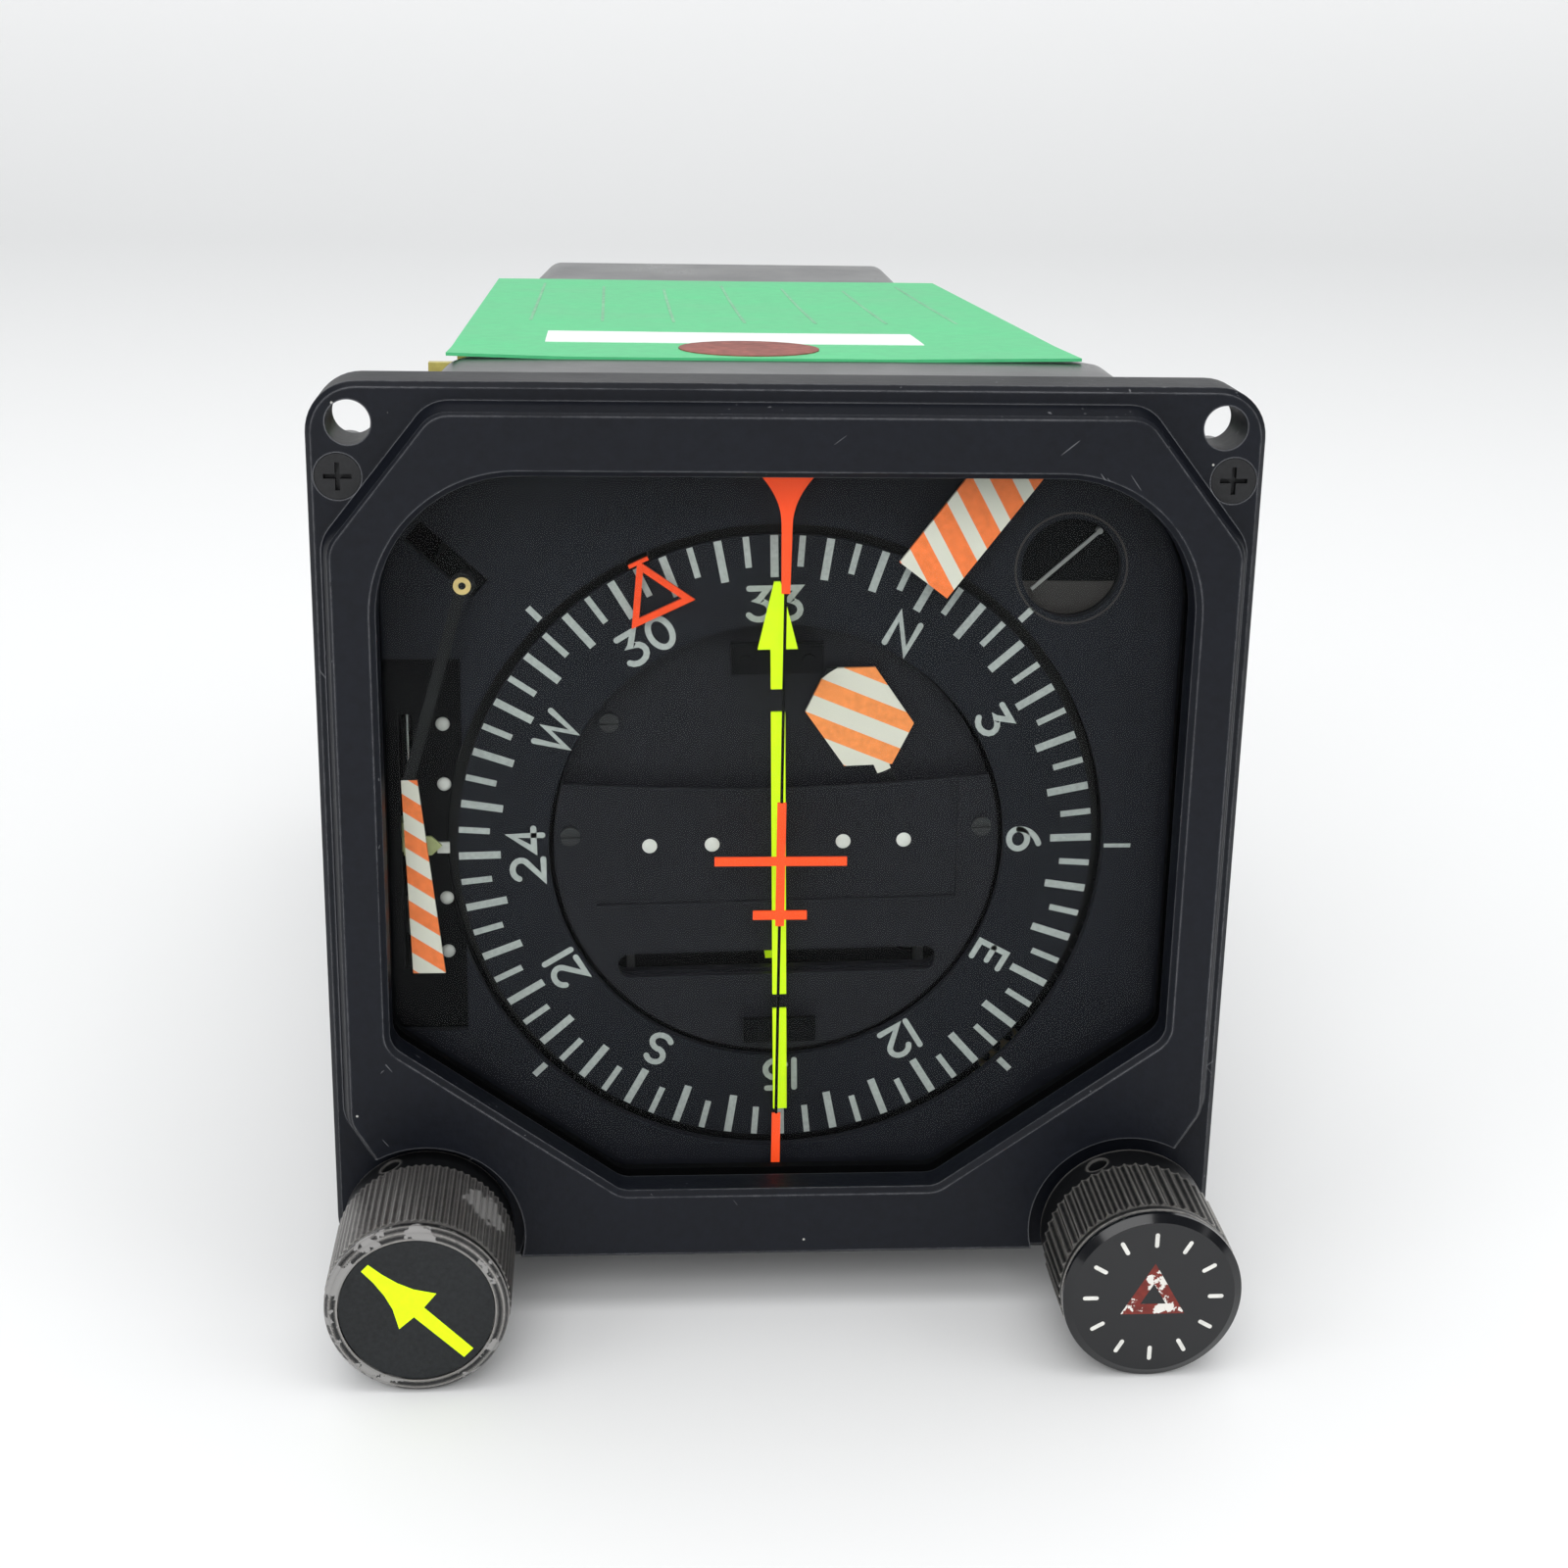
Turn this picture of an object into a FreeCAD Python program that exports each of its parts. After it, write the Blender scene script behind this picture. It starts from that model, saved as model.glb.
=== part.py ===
import FreeCAD
import Part
import math
import os

# Navigation situation display for an aircraft panel: a slaved compass card with a
# course pointer, deviation bar, heading bug, warning flags and glideslope scale.
# Millimetres. X to the right, Y into the panel, Z up. The origin is on the panel
# face (the rear of the flange), midway between the two panel holes.

# Bezel
bezel_size = 85.9
bezel_corner_radius = 4.6
flange_thickness = 6.4
flange_bevel = 0.5
plateau_height = 2.4
plateau_side_margin = 1.75
plateau_top_margin = 2.3
plateau_bottom_margin = 1.1
plateau_top_cut_width = 9.5
plateau_top_cut_height = 12.0
plateau_low_cut_width = 8.8
plateau_low_cut_height = 14.6
plateau_corner_radius = 3.0
plateau_slope = 0.7

# Panel fixing
hole_side_margin = 3.8
hole_spacing = bezel_size - 2 * hole_side_margin
hole_radius = 2.0
hole_drop = 3.6
bezel_screw_side_margin = 2.75
bezel_screw_spacing = bezel_size - 2 * bezel_screw_side_margin
bezel_screw_drop = 8.4
bezel_screw_head_radius = 2.05
bezel_screw_shank_radius = 1.1
bezel_screw_length = 9.6

# Window and glass
window_side_margin = 5.85
window_half_width = bezel_size / 2 - window_side_margin
window_top_drop = 7.95
window_bottom_margin = 8.05
window_bottom_drop = bezel_size - window_bottom_margin
window_low_cut_height = 15.55
window_low_cut_width = 21.8
window_shoulder_drop = window_bottom_drop - window_low_cut_height
window_low_half_width = window_half_width - window_low_cut_width
window_corner_radius = 12.8
window_low_radius = 2.4
window_bevel = 0.55
window_depth = 3.5
glass_lap = 1.6
seal_thickness = 0.3
glass_thickness = 1.8
retainer_thickness = 1.0
pocket_clearance = 0.1
flag_pocket_margin = 1.5
flag_pocket_cut = 9.2
flag_bay_wall = 1.05
flag_bay_reach = bezel_size / 2 - flag_bay_wall
flag_bay_rise = 13.4
flag_bay_height = 34.0

# Dial
dial_below_middle = 3.45
dial_drop = bezel_size / 2 + dial_below_middle
flag_bay_top_drop = dial_drop - flag_bay_rise
card_window_gap = 6.05
card_band = 8.75
card_outer_radius = window_half_width - card_window_gap
card_inner_radius = card_outer_radius - card_band
card_thickness = 0.8
card_turn = 1.53
mask_opening_gap = 1.05
mask_opening_radius = card_outer_radius + mask_opening_gap
mask_thickness = 1.0
mask_setback = 2.6
mask_low_cut = 11.0
card_setback = 0.3
running_gap = 0.4

# Course carriage
course_turn = 1.24
carriage_gap = 0.5
carriage_radius = card_inner_radius - carriage_gap
arrow_tip_gap = 4.15
arrow_tip_radius = card_outer_radius - arrow_tip_gap
arrow_head_length = 6.5
arrow_head_base = arrow_tip_radius - arrow_head_length
arrow_head_half_width = 1.9
arrow_tip_half_width = 0.3
pointer_half_width = 0.68
arrow_length = 10.4
arrow_inner_radius = arrow_tip_radius - arrow_length
tail_end_gap = 3.85
tail_length = 10.8
tail_outer_radius = card_outer_radius - tail_end_gap
tail_inner_radius = tail_outer_radius - tail_length
clamp_length = 3.9
clamp_inner = carriage_radius - clamp_length
bar_top_gap = 2.3
bar_bottom_gap = 1.6
bar_top = arrow_inner_radius - bar_top_gap
bar_bottom = bar_bottom_gap - tail_inner_radius
pointer_thickness = 0.4
pointer_setback = 0.9
slot_height = 2.5
slot_rim_gap = 9.4
slot_offset = slot_rim_gap - carriage_radius
plate_top = 6.7
plate_sag = 1.0
plate_setback = 3.5
plate_thickness = 0.6
recess_side_gap = 4.0
recess_half_width = carriage_radius - recess_side_gap
recess_height = 12.6
recess_depth = 0.25
slot_end_gap = 4.4
slot_reach = math.sqrt(carriage_radius**2 - (slot_offset - slot_height / 2) ** 2)
bar_travel = slot_reach - slot_end_gap
dot_pitch = bar_travel / 2
dot_radius = 0.75

# Heading bug
bug_angle = 115.5
bug_apex_gap = 0.75
bug_apex_radius = card_outer_radius + bug_apex_gap
bug_side = 6.6
bug_stroke = 0.62
bug_setback = 1.8
bug_arm_gap = 0.35
bug_arm_inner = card_outer_radius + bug_arm_gap
bug_arm_outer = mask_opening_radius - bug_arm_gap
bug_arm_half_width = 1.0
bug_carrier_thickness = 0.6
bug_carrier_lap = 0.3

# Gears
fine_module = 0.5
coarse_module = 1.0
servo_module = 0.8
drum_step = 1.45
drum_radius = card_outer_radius - drum_step
bug_ring_reach = 1.95
course_gear_reach = 0.4
card_gear_step = 0.8
knob_pinion_teeth = 8
bug_ring_teeth = 4 * round((card_outer_radius + bug_ring_reach) / (2 * fine_module))
course_gear_teeth = 4 * round((drum_radius + course_gear_reach) / (2 * coarse_module))
layshaft_rear_teeth = 14
card_gear_teeth = 4 * round((drum_radius - card_gear_step) / (2 * servo_module))
servo_pinion_teeth = 12
gear_width = 1.2
fine_addendum = 0.6
fine_dedendum = 0.75

# Flags, glideslope and slaving indicator
flag_setback = -1.1
flag_thickness = 0.4
flag_shaft_radius = 0.5
flag_hub_radius = 1.15
nav_pivot_rim_gap = 5.0
nav_pivot_x = carriage_radius - nav_pivot_rim_gap
nav_pivot_slot_gap = 5.4
nav_pivot_z = slot_offset + nav_pivot_slot_gap
nav_centre_x = 8.2
nav_centre_rim_gap = 9.4
nav_centre_z = carriage_radius - nav_centre_rim_gap
hdg_pivot_side_gap = 13.6
hdg_pivot_x = window_half_width - hdg_pivot_side_gap
hdg_pivot_rise = 3.15
hdg_pivot_drop = window_top_drop - hdg_pivot_rise
hdg_angle = 233.0
hdg_width = 5.7
hdg_length = 17.6
gs_pivot_side_gap = 7.3
gs_pivot_x = gs_pivot_side_gap - window_half_width
gs_pivot_top_gap = 11.45
gs_pivot_drop = window_top_drop + gs_pivot_top_gap
gs_flag_side_gap = 1.9
gs_flag_top_x = gs_flag_side_gap - window_half_width
gs_flag_rise = 8.2
gs_flag_top_drop = dial_drop - gs_flag_rise
gs_flag_length = 19.6
gs_flag_top_width = 1.5
gs_flag_width = 3.1
gs_pointer_side_gap = 4.5
gs_pointer_x = gs_pointer_side_gap - window_half_width
gs_rod_side_gap = 1.2
gs_pointer_rod_x = gs_rod_side_gap - window_half_width
gs_travel = 11.7
scale_lap = 0.8
scale_outer_x = -window_half_width - scale_lap
scale_width = 7.5
scale_inner_x = scale_outer_x + scale_width
scale_rise = 19.0
scale_fall = 19.1
scale_top_drop = dial_drop - scale_rise
scale_bottom_drop = dial_drop + scale_fall
scale_setback = 4.2
scale_thickness = 0.8
slaving_side_gap = 9.6
slaving_top_gap = 10.55
slaving_x = window_half_width - slaving_side_gap
slaving_drop = window_top_drop + slaving_top_gap
slaving_hole_radius = 4.8
slaving_cup_radius = 5.4
slaving_cup_depth = 1.4
needle_half_width = 0.17

# Knobs
knob_side_margin = 8.85
knob_bottom_margin = 3.7
knob_x = bezel_size / 2 - knob_side_margin
knob_drop = bezel_size - knob_bottom_margin
knob_radius = 8.55
knob_face_reach = 16.5
course_knob_gap = 0.6
heading_knob_gap = 2.5
push_travel = 2.0
skirt_length = 3.4
skirt_inset = 0.3
recess_clearance = 0.85
shaft_radius = 1.5875
bearing_clearance = 0.04
bushing_radius = 2.8
course_flutes = 72
course_flute_depth = 0.22
heading_flutes = 48
heading_flute_depth = 0.42

# Body
shoulder_side_inset = 1.55
shoulder_half_width = bezel_size / 2 - shoulder_side_inset
shoulder_top_inset = 0.5
shoulder_bottom_inset = 0.5
shoulder_seat_depth = 0.4
shoulder_top_cut = 10.5
shoulder_bottom_cut = 3.0
shoulder_hold = 12.0
shoulder_length = 40.0
shoulder_wall = 1.6
spigot_length = 6.0
spigot_wall = 1.0
case_side_inset = 5.4
case_half_width = shoulder_half_width - case_side_inset
case_top_drop = 5.6
case_bottom_margin = 1.7
case_bottom_drop = bezel_size - case_bottom_margin
case_top_cut = 11.5
case_bottom_cut = 4.0
case_corner_radius = 2.5
case_depth = 153.6
cover_wall = 1.0
rear_plate_thickness = 2.0
plate_gap = 0.15

# Inside
bulkhead_setback = 12.4
bulkhead_thickness = 1.2
middle_setback = 25.4
middle_thickness = 1.5
drum_wall = 1.0
drum_back_setback = 9.6
drum_back_thickness = 1.0
hub_radius = 7.0
course_shaft_radius = 2.0
servo_radius = 9.0
servo_length = 26.0
servo_side_gap = 2.24
resolver_radius = 12.0
resolver_length = 28.0
board_count = 3
board_thickness = 1.6
board_pitch = 19.0

# Tag
tag_width = 61.0
tag_length = 113.0
tag_thickness = 0.35
tag_near = 12.2
tag_centre_x = -1.2

vector = FreeCAD.Vector
top_edge = hole_drop
bottom_edge = top_edge - bezel_size
half_bezel = bezel_size / 2
flange_front = -flange_thickness
plateau_front = flange_front - plateau_height
dial_z = top_edge - dial_drop
glass_front = plateau_front + window_depth + seal_thickness
glass_rear = glass_front + glass_thickness
retainer_rear = glass_rear + retainer_thickness
card_front = mask_setback + card_setback
card_rear = card_front + card_thickness
bug_carrier_front = scale_setback + scale_thickness + running_gap
bug_carrier_rear = bug_carrier_front + bug_carrier_thickness
bug_ring_front = bug_carrier_rear + running_gap
nav_front = plate_setback + plate_thickness + 1.5 * running_gap
course_disc_front = nav_front + flag_thickness + 2 * running_gap
course_disc_thickness = 1.0
rider_front = course_disc_front + course_disc_thickness + running_gap
knob_z = top_edge - knob_drop
case_rear = case_depth
turn_axis = vector(0, 1, 0)
dial_centre = (0.0, dial_z)

# Outlines and solids


def rounded_outline(corners, radii, y):
    """Closed wire in the plane Y = y, with each corner rounded by its own radius."""
    count = len(corners)
    points = [vector(x, y, z) for x, z in corners]
    arcs = []
    for index, radius in enumerate(radii):
        corner = points[index]
        back = (points[index - 1] - corner).normalize()
        ahead = (points[(index + 1) % count] - corner).normalize()
        half_angle = back.getAngle(ahead) / 2
        reach = radius / math.tan(half_angle)
        middle = (back + ahead).normalize()
        depth = radius / math.sin(half_angle) - radius
        arcs.append((corner + back * reach, corner + middle * depth, corner + ahead * reach))
    edges = []
    for index, (start, middle, end) in enumerate(arcs):
        if radii[index] > 0:
            edges.append(Part.Arc(start, middle, end).toShape())
        following = arcs[(index + 1) % count][0]
        edges.append(Part.LineSegment(end, following).toShape())
    return Part.Wire(edges)


def inset(corners, distance):
    """The convex outline moved inward by a distance, or outward when it is negative."""
    count = len(corners)
    area = sum(
        corners[i][0] * corners[(i + 1) % count][1] - corners[(i + 1) % count][0] * corners[i][1]
        for i in range(count)
    )
    side = math.copysign(1.0, area)
    lines = []
    for index in range(count):
        (x0, z0), (x1, z1) = corners[index], corners[(index + 1) % count]
        length = math.hypot(x1 - x0, z1 - z0)
        normal = (-(z1 - z0) / length * side, (x1 - x0) / length * side)
        offset = normal[0] * x0 + normal[1] * z0 + distance
        lines.append((normal[0], normal[1], offset))
    moved = []
    for index in range(count):
        a0, b0, c0 = lines[index - 1]
        a1, b1, c1 = lines[index]
        scale = a0 * b1 - a1 * b0
        moved.append(((c0 * b1 - c1 * b0) / scale, (a0 * c1 - a1 * c0) / scale))
    return moved


def slab(corners, radii, front, rear):
    """A flat plate of the rounded outline between two depths."""
    face = Part.Face(rounded_outline(corners, radii, front))
    return face.extrude(vector(0, rear - front, 0))


def block(x0, x1, front, rear, z0, z1):
    """A rectangular block between two corners."""
    return Part.makeBox(x1 - x0, rear - front, z1 - z0, vector(x0, front, z0))


def round_bar(centre, radius, front, rear):
    """A cylinder along Y."""
    return Part.makeCylinder(radius, rear - front, vector(centre[0], front, centre[1]), turn_axis)


def tube(centre, outer, inner, front, rear):
    """A ring along Y."""
    return round_bar(centre, outer, front, rear).cut(round_bar(centre, inner, front - 1, rear + 1))


def turned(centre, profile):
    """A solid turned about an axis along Y through the centre, from (radius, y) points."""
    points = [vector(centre[0] + radius, y, centre[1]) for radius, y in profile]
    wire = Part.makePolygon(points + points[:1])
    axis_point = vector(centre[0], 0, centre[1])
    return Part.Face(wire).revolve(axis_point, turn_axis, 360)


def skin(sections):
    """A straight-sided loft through the wires."""
    return Part.makeLoft(sections, True, True)


def spun(shape, degrees, centre=dial_centre):
    """A copy turned anticlockwise, as seen from the front, about an axis along Y."""
    copy = shape.copy()
    copy.rotate(vector(centre[0], 0, centre[1]), turn_axis, -degrees)
    return copy


def on_circle(radius, degrees, centre=dial_centre):
    """The point at an angle on a circle, anticlockwise from the right."""
    angle = math.radians(degrees)
    return (centre[0] + radius * math.cos(angle), centre[1] + radius * math.sin(angle))


def fused(shapes):
    """One solid from overlapping or touching shapes."""
    whole = shapes[0]
    for shape in shapes[1:]:
        whole = whole.fuse(shape)
    return whole.removeSplitter()


# Gears


def pitch_radius(teeth, module):
    """The pitch radius of a gear."""
    return teeth * module / 2


def gear_outline(centre, teeth, module, first_tooth, y):
    """Trapezoid teeth with backlash, the first one centred at an angle in degrees."""
    pitch = 360.0 / teeth
    tip = pitch_radius(teeth, module) + fine_addendum * module
    root = pitch_radius(teeth, module) - fine_dedendum * module
    root_share = 0.27
    tip_share = 0.11
    points = []
    for tooth in range(teeth):
        angle = first_tooth + tooth * pitch
        for radius, share in ((root, -root_share), (tip, -tip_share), (tip, tip_share), (root, root_share)):
            x, z = on_circle(radius, angle + share * pitch, centre)
            points.append(vector(x, y, z))
    return Part.makePolygon(points + points[:1])


def gear(centre, teeth, module, first_tooth, front, width):
    """A toothed disc."""
    face = Part.Face(gear_outline(centre, teeth, module, first_tooth, front))
    return face.extrude(vector(0, width, 0))


def line_angle(start, end):
    """The direction from one point to another, in degrees."""
    return math.degrees(math.atan2(end[1] - start[1], end[0] - start[0]))


def mesh_tooth(centre_a, teeth_a, tooth_a, centre_b, teeth_b):
    """The first tooth's angle that sets gear B in mesh with gear A."""
    towards = line_angle(centre_a, centre_b)
    lead = (tooth_a - towards) * teeth_a / teeth_b
    return towards + 180 + 180.0 / teeth_b - lead


def meeting_point(centre_a, radius_a, centre_b, radius_b, side):
    """Where two circles cross, on the left (+1) or right (-1) of the line from A to B."""
    dx = centre_b[0] - centre_a[0]
    dz = centre_b[1] - centre_a[1]
    distance = math.hypot(dx, dz)
    along = (radius_a**2 - radius_b**2 + distance**2) / (2 * distance)
    across = side * math.sqrt(max(radius_a**2 - along**2, 0))
    return (
        centre_a[0] + (along * dx - across * dz) / distance,
        centre_a[1] + (along * dz + across * dx) / distance,
    )


knob_pinion_radius = pitch_radius(knob_pinion_teeth, fine_module)
knob_to_dial = math.hypot(knob_x, knob_z - dial_z)
bug_ring_radius = pitch_radius(bug_ring_teeth, fine_module)
idler_teeth = math.ceil((knob_to_dial - bug_ring_radius - knob_pinion_radius) / fine_module)
idler_radius = pitch_radius(idler_teeth, fine_module)
course_gear_radius = pitch_radius(course_gear_teeth, coarse_module)
layshaft_rear_radius = pitch_radius(layshaft_rear_teeth, coarse_module)
rear_reach = course_gear_radius + layshaft_rear_radius
layshaft_teeth = math.ceil(2 * (knob_to_dial - rear_reach - knob_pinion_radius) / fine_module)
layshaft_radius = pitch_radius(layshaft_teeth, fine_module)
card_gear_radius = pitch_radius(card_gear_teeth, servo_module)
servo_pinion_radius = pitch_radius(servo_pinion_teeth, servo_module)
course_knob_centre = (-knob_x, knob_z)
heading_knob_centre = (knob_x, knob_z)
idler_centre = meeting_point(
    heading_knob_centre, knob_pinion_radius + idler_radius, dial_centre, bug_ring_radius + idler_radius, -1
)
layshaft_centre = meeting_point(
    course_knob_centre, knob_pinion_radius + layshaft_radius, dial_centre, rear_reach, 1
)
servo_reach = card_gear_radius + servo_pinion_radius
servo_x = case_half_width - cover_wall - servo_side_gap - servo_radius
servo_centre = (servo_x, dial_z + math.sqrt(servo_reach**2 - servo_x**2))

# Depths of the gear planes
layshaft_gear_front = bulkhead_setback + bulkhead_thickness + 1.0
card_gear_front = bulkhead_setback + bulkhead_thickness + 4.0
course_gear_front = card_gear_front + gear_width + 1.4


def rounding(corners, radius):
    """The same radius for every corner."""
    return [radius] * len(corners)


def box_outline(half_width, z_top, z_bottom):
    """A rectangle that is even about the middle."""
    return [(-half_width, z_top), (half_width, z_top), (half_width, z_bottom), (-half_width, z_bottom)]


def cut_box(half_width, z_top, z_bottom, top_cut, bottom_cut, top_cut_height=None, bottom_cut_height=None):
    """A rectangle with its four corners cut off."""
    high = top_cut_height or top_cut
    low = bottom_cut_height or bottom_cut
    return [
        (-half_width + top_cut, z_top),
        (half_width - top_cut, z_top),
        (half_width, z_top - high),
        (half_width, z_bottom + low),
        (half_width - bottom_cut, z_bottom),
        (-half_width + bottom_cut, z_bottom),
        (-half_width, z_bottom + low),
        (-half_width, z_top - high),
    ]


# Window and glass outlines

window_corners = [
    (-window_half_width, top_edge - window_top_drop),
    (window_half_width, top_edge - window_top_drop),
    (window_half_width, top_edge - window_shoulder_drop),
    (window_low_half_width, top_edge - window_bottom_drop),
    (-window_low_half_width, top_edge - window_bottom_drop),
    (-window_half_width, top_edge - window_shoulder_drop),
]


def window_radii(growth):
    """The window's corner radii when its outline has grown by a distance."""
    low = window_low_radius + growth
    high = window_corner_radius + growth
    return [high, high, low, low, low, low]


def window_wire(growth, y):
    """The window's outline grown by a distance."""
    return rounded_outline(inset(window_corners, -growth), window_radii(growth), y)


def window_slab(growth, front, rear):
    """A plate of the window's outline grown by a distance."""
    return slab(inset(window_corners, -growth), window_radii(growth), front, rear)


def mirrored_points(x, z):
    """The same point on both sides."""
    return [(-x, z), (x, z)]


panel_holes = mirrored_points(hole_spacing / 2, top_edge - hole_drop)
bezel_screw_points = mirrored_points(bezel_screw_spacing / 2, top_edge - bezel_screw_drop)
knob_centres = [course_knob_centre, heading_knob_centre]

# Front pieces


def make_bezel():
    """Square flange with a raised plateau, the window and the pockets behind it."""
    square = box_outline(half_bezel, top_edge, bottom_edge)
    corner = bezel_corner_radius
    flange = skin(
        [
            rounded_outline(inset(square, flange_bevel), rounding(square, corner - flange_bevel), flange_front),
            rounded_outline(square, rounding(square, corner), flange_front + flange_bevel),
            rounded_outline(square, rounding(square, corner), 0),
        ]
    )
    plateau_corners = cut_box(
        half_bezel - plateau_side_margin,
        top_edge - plateau_top_margin,
        bottom_edge + plateau_bottom_margin,
        plateau_top_cut_width,
        plateau_low_cut_width,
        plateau_top_cut_height,
        plateau_low_cut_height,
    )
    radii = rounding(plateau_corners, plateau_corner_radius)
    foot_radii = rounding(plateau_corners, plateau_corner_radius + plateau_slope)
    lip = 0.3
    plateau = skin(
        [
            rounded_outline(inset(plateau_corners, lip), radii, plateau_front),
            rounded_outline(plateau_corners, radii, plateau_front + lip),
            rounded_outline(inset(plateau_corners, -plateau_slope), foot_radii, flange_front),
        ]
    )
    for centre in knob_centres:
        plateau = plateau.cut(
            round_bar(centre, knob_radius + recess_clearance, plateau_front - 1, flange_front)
        )
    bezel = flange.fuse(plateau)
    bezel = bezel.cut(window_slab(0, plateau_front - 1, 1))
    bezel = bezel.cut(
        skin([window_wire(window_bevel, plateau_front), window_wire(0, plateau_front + window_bevel)])
    )
    bezel = bezel.cut(window_slab(glass_lap, plateau_front + window_depth, 1))
    bezel = bezel.cut(make_flag_pocket())
    for centre in panel_holes:
        bezel = bezel.cut(round_bar(centre, hole_radius, flange_front - 1, 1))
    for centre in bezel_screw_points:
        bezel = bezel.cut(screw_cone(centre, 0.06))
        bezel = bezel.cut(round_bar(centre, bezel_screw_shank_radius + 0.1, flange_front, 1))
    for centre in knob_centres:
        bezel = bezel.cut(round_bar(centre, bushing_radius, flange_front - 1, 1))
    return bezel.cut(make_shoulder_seat()).removeSplitter()


def make_shoulder_seat():
    """The shallow recess in the flange's rear that takes the end of the shoulder."""
    corners = inset(body_corners(0), -plate_gap)
    pieces = [slab(corners, rounding(corners, case_corner_radius), -shoulder_seat_depth, 1)]
    for centre in knob_centres:
        pieces.append(round_bar(centre, pinion_pocket_radius + lobe_wall + plate_gap, -shoulder_seat_depth, 1))
    for centre in bezel_screw_points:
        pieces.append(round_bar(centre, boss_radius + plate_gap, -shoulder_seat_depth, 1))
    return fused(pieces)


def make_flag_pocket():
    """The room behind the glass where the flags swing out of sight."""
    corners = cut_box(
        window_half_width + glass_lap + 0.2,
        top_edge - flag_pocket_margin,
        top_edge - window_bottom_drop - glass_lap,
        flag_pocket_cut,
        window_half_width - window_low_half_width,
        flag_pocket_cut,
        window_bottom_drop - window_shoulder_drop,
    )
    pocket = slab(corners, rounding(corners, 1.0), retainer_rear, 1)
    bay_top = top_edge - flag_bay_top_drop
    bay = block(-flag_bay_reach, -window_half_width, retainer_rear, 1, bay_top - flag_bay_height, bay_top)
    return pocket.fuse(bay)


def screw_cone(centre, clearance):
    """A countersunk head flush with the flange's front."""
    head = bezel_screw_head_radius + clearance
    shank = bezel_screw_shank_radius + clearance
    depth = (head - shank) * 1.15
    return turned(
        centre,
        [(0, flange_front), (head, flange_front), (head, flange_front + 0.15), (shank, flange_front + depth), (0, flange_front + depth)],
    )


def cross_slot(centre, y, reach, width, depth):
    """A cross-shaped driver recess."""
    x, z = centre
    flat = block(x - reach, x + reach, y - 1, y + depth, z - width / 2, z + width / 2)
    upright = block(x - width / 2, x + width / 2, y - 1, y + depth, z - reach, z + reach)
    return flat.fuse(upright)


def make_bezel_screws():
    """Two flush cross-head screws that hold the bezel to the shoulder frame."""
    screws = []
    for centre in bezel_screw_points:
        head = screw_cone(centre, 0)
        shank = round_bar(centre, bezel_screw_shank_radius, flange_front + 0.8, flange_front + bezel_screw_length)
        screw = head.fuse(shank).cut(cross_slot(centre, flange_front, 1.25, 0.42, 0.7))
        screws.append(screw)
    return screws


def make_window_seal():
    """The thin seal between the bezel's ledge and the glass."""
    ring = window_slab(glass_lap - pocket_clearance, glass_front - seal_thickness, glass_front)
    return ring.cut(window_slab(0.3, glass_front - 1, glass_front + 1))


def make_glass():
    """The flat cover glass."""
    return window_slab(glass_lap - pocket_clearance, glass_front, glass_rear)


def make_retainer():
    """The frame that clamps the glass from behind."""
    frame = window_slab(glass_lap - pocket_clearance, glass_rear, retainer_rear)
    return frame.cut(window_slab(0.15, glass_rear - 1, retainer_rear + 1))


lubber_top = top_edge - window_top_drop + 1.2
lubber_flare_half_width = 3.4
lubber_stem_half_width = 0.5
lubber_flare_drop = 5.6
lubber_tip_drop = 19.9
lubber_thickness = 0.3
strip_half_width = 0.12
strip_depth = 0.8
symbol_rise = 6.1
symbol_fall = 6.4
symbol_top_drop = dial_drop - symbol_rise
symbol_bottom_drop = dial_drop + symbol_fall
symbol_half_width = 0.42
wing_rise = 0.2
wing_drop = dial_drop - wing_rise
wing_half_span = 6.35
wing_half_height = 0.42
tail_fall = 5.3
tail_drop = dial_drop + tail_fall
tail_half_span = 2.6
lower_bar_lap = 1.25
lower_bar_length = 6.4
lower_bar_bottom_drop = window_bottom_drop + lower_bar_lap
lower_bar_top_drop = lower_bar_bottom_drop - lower_bar_length


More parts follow.
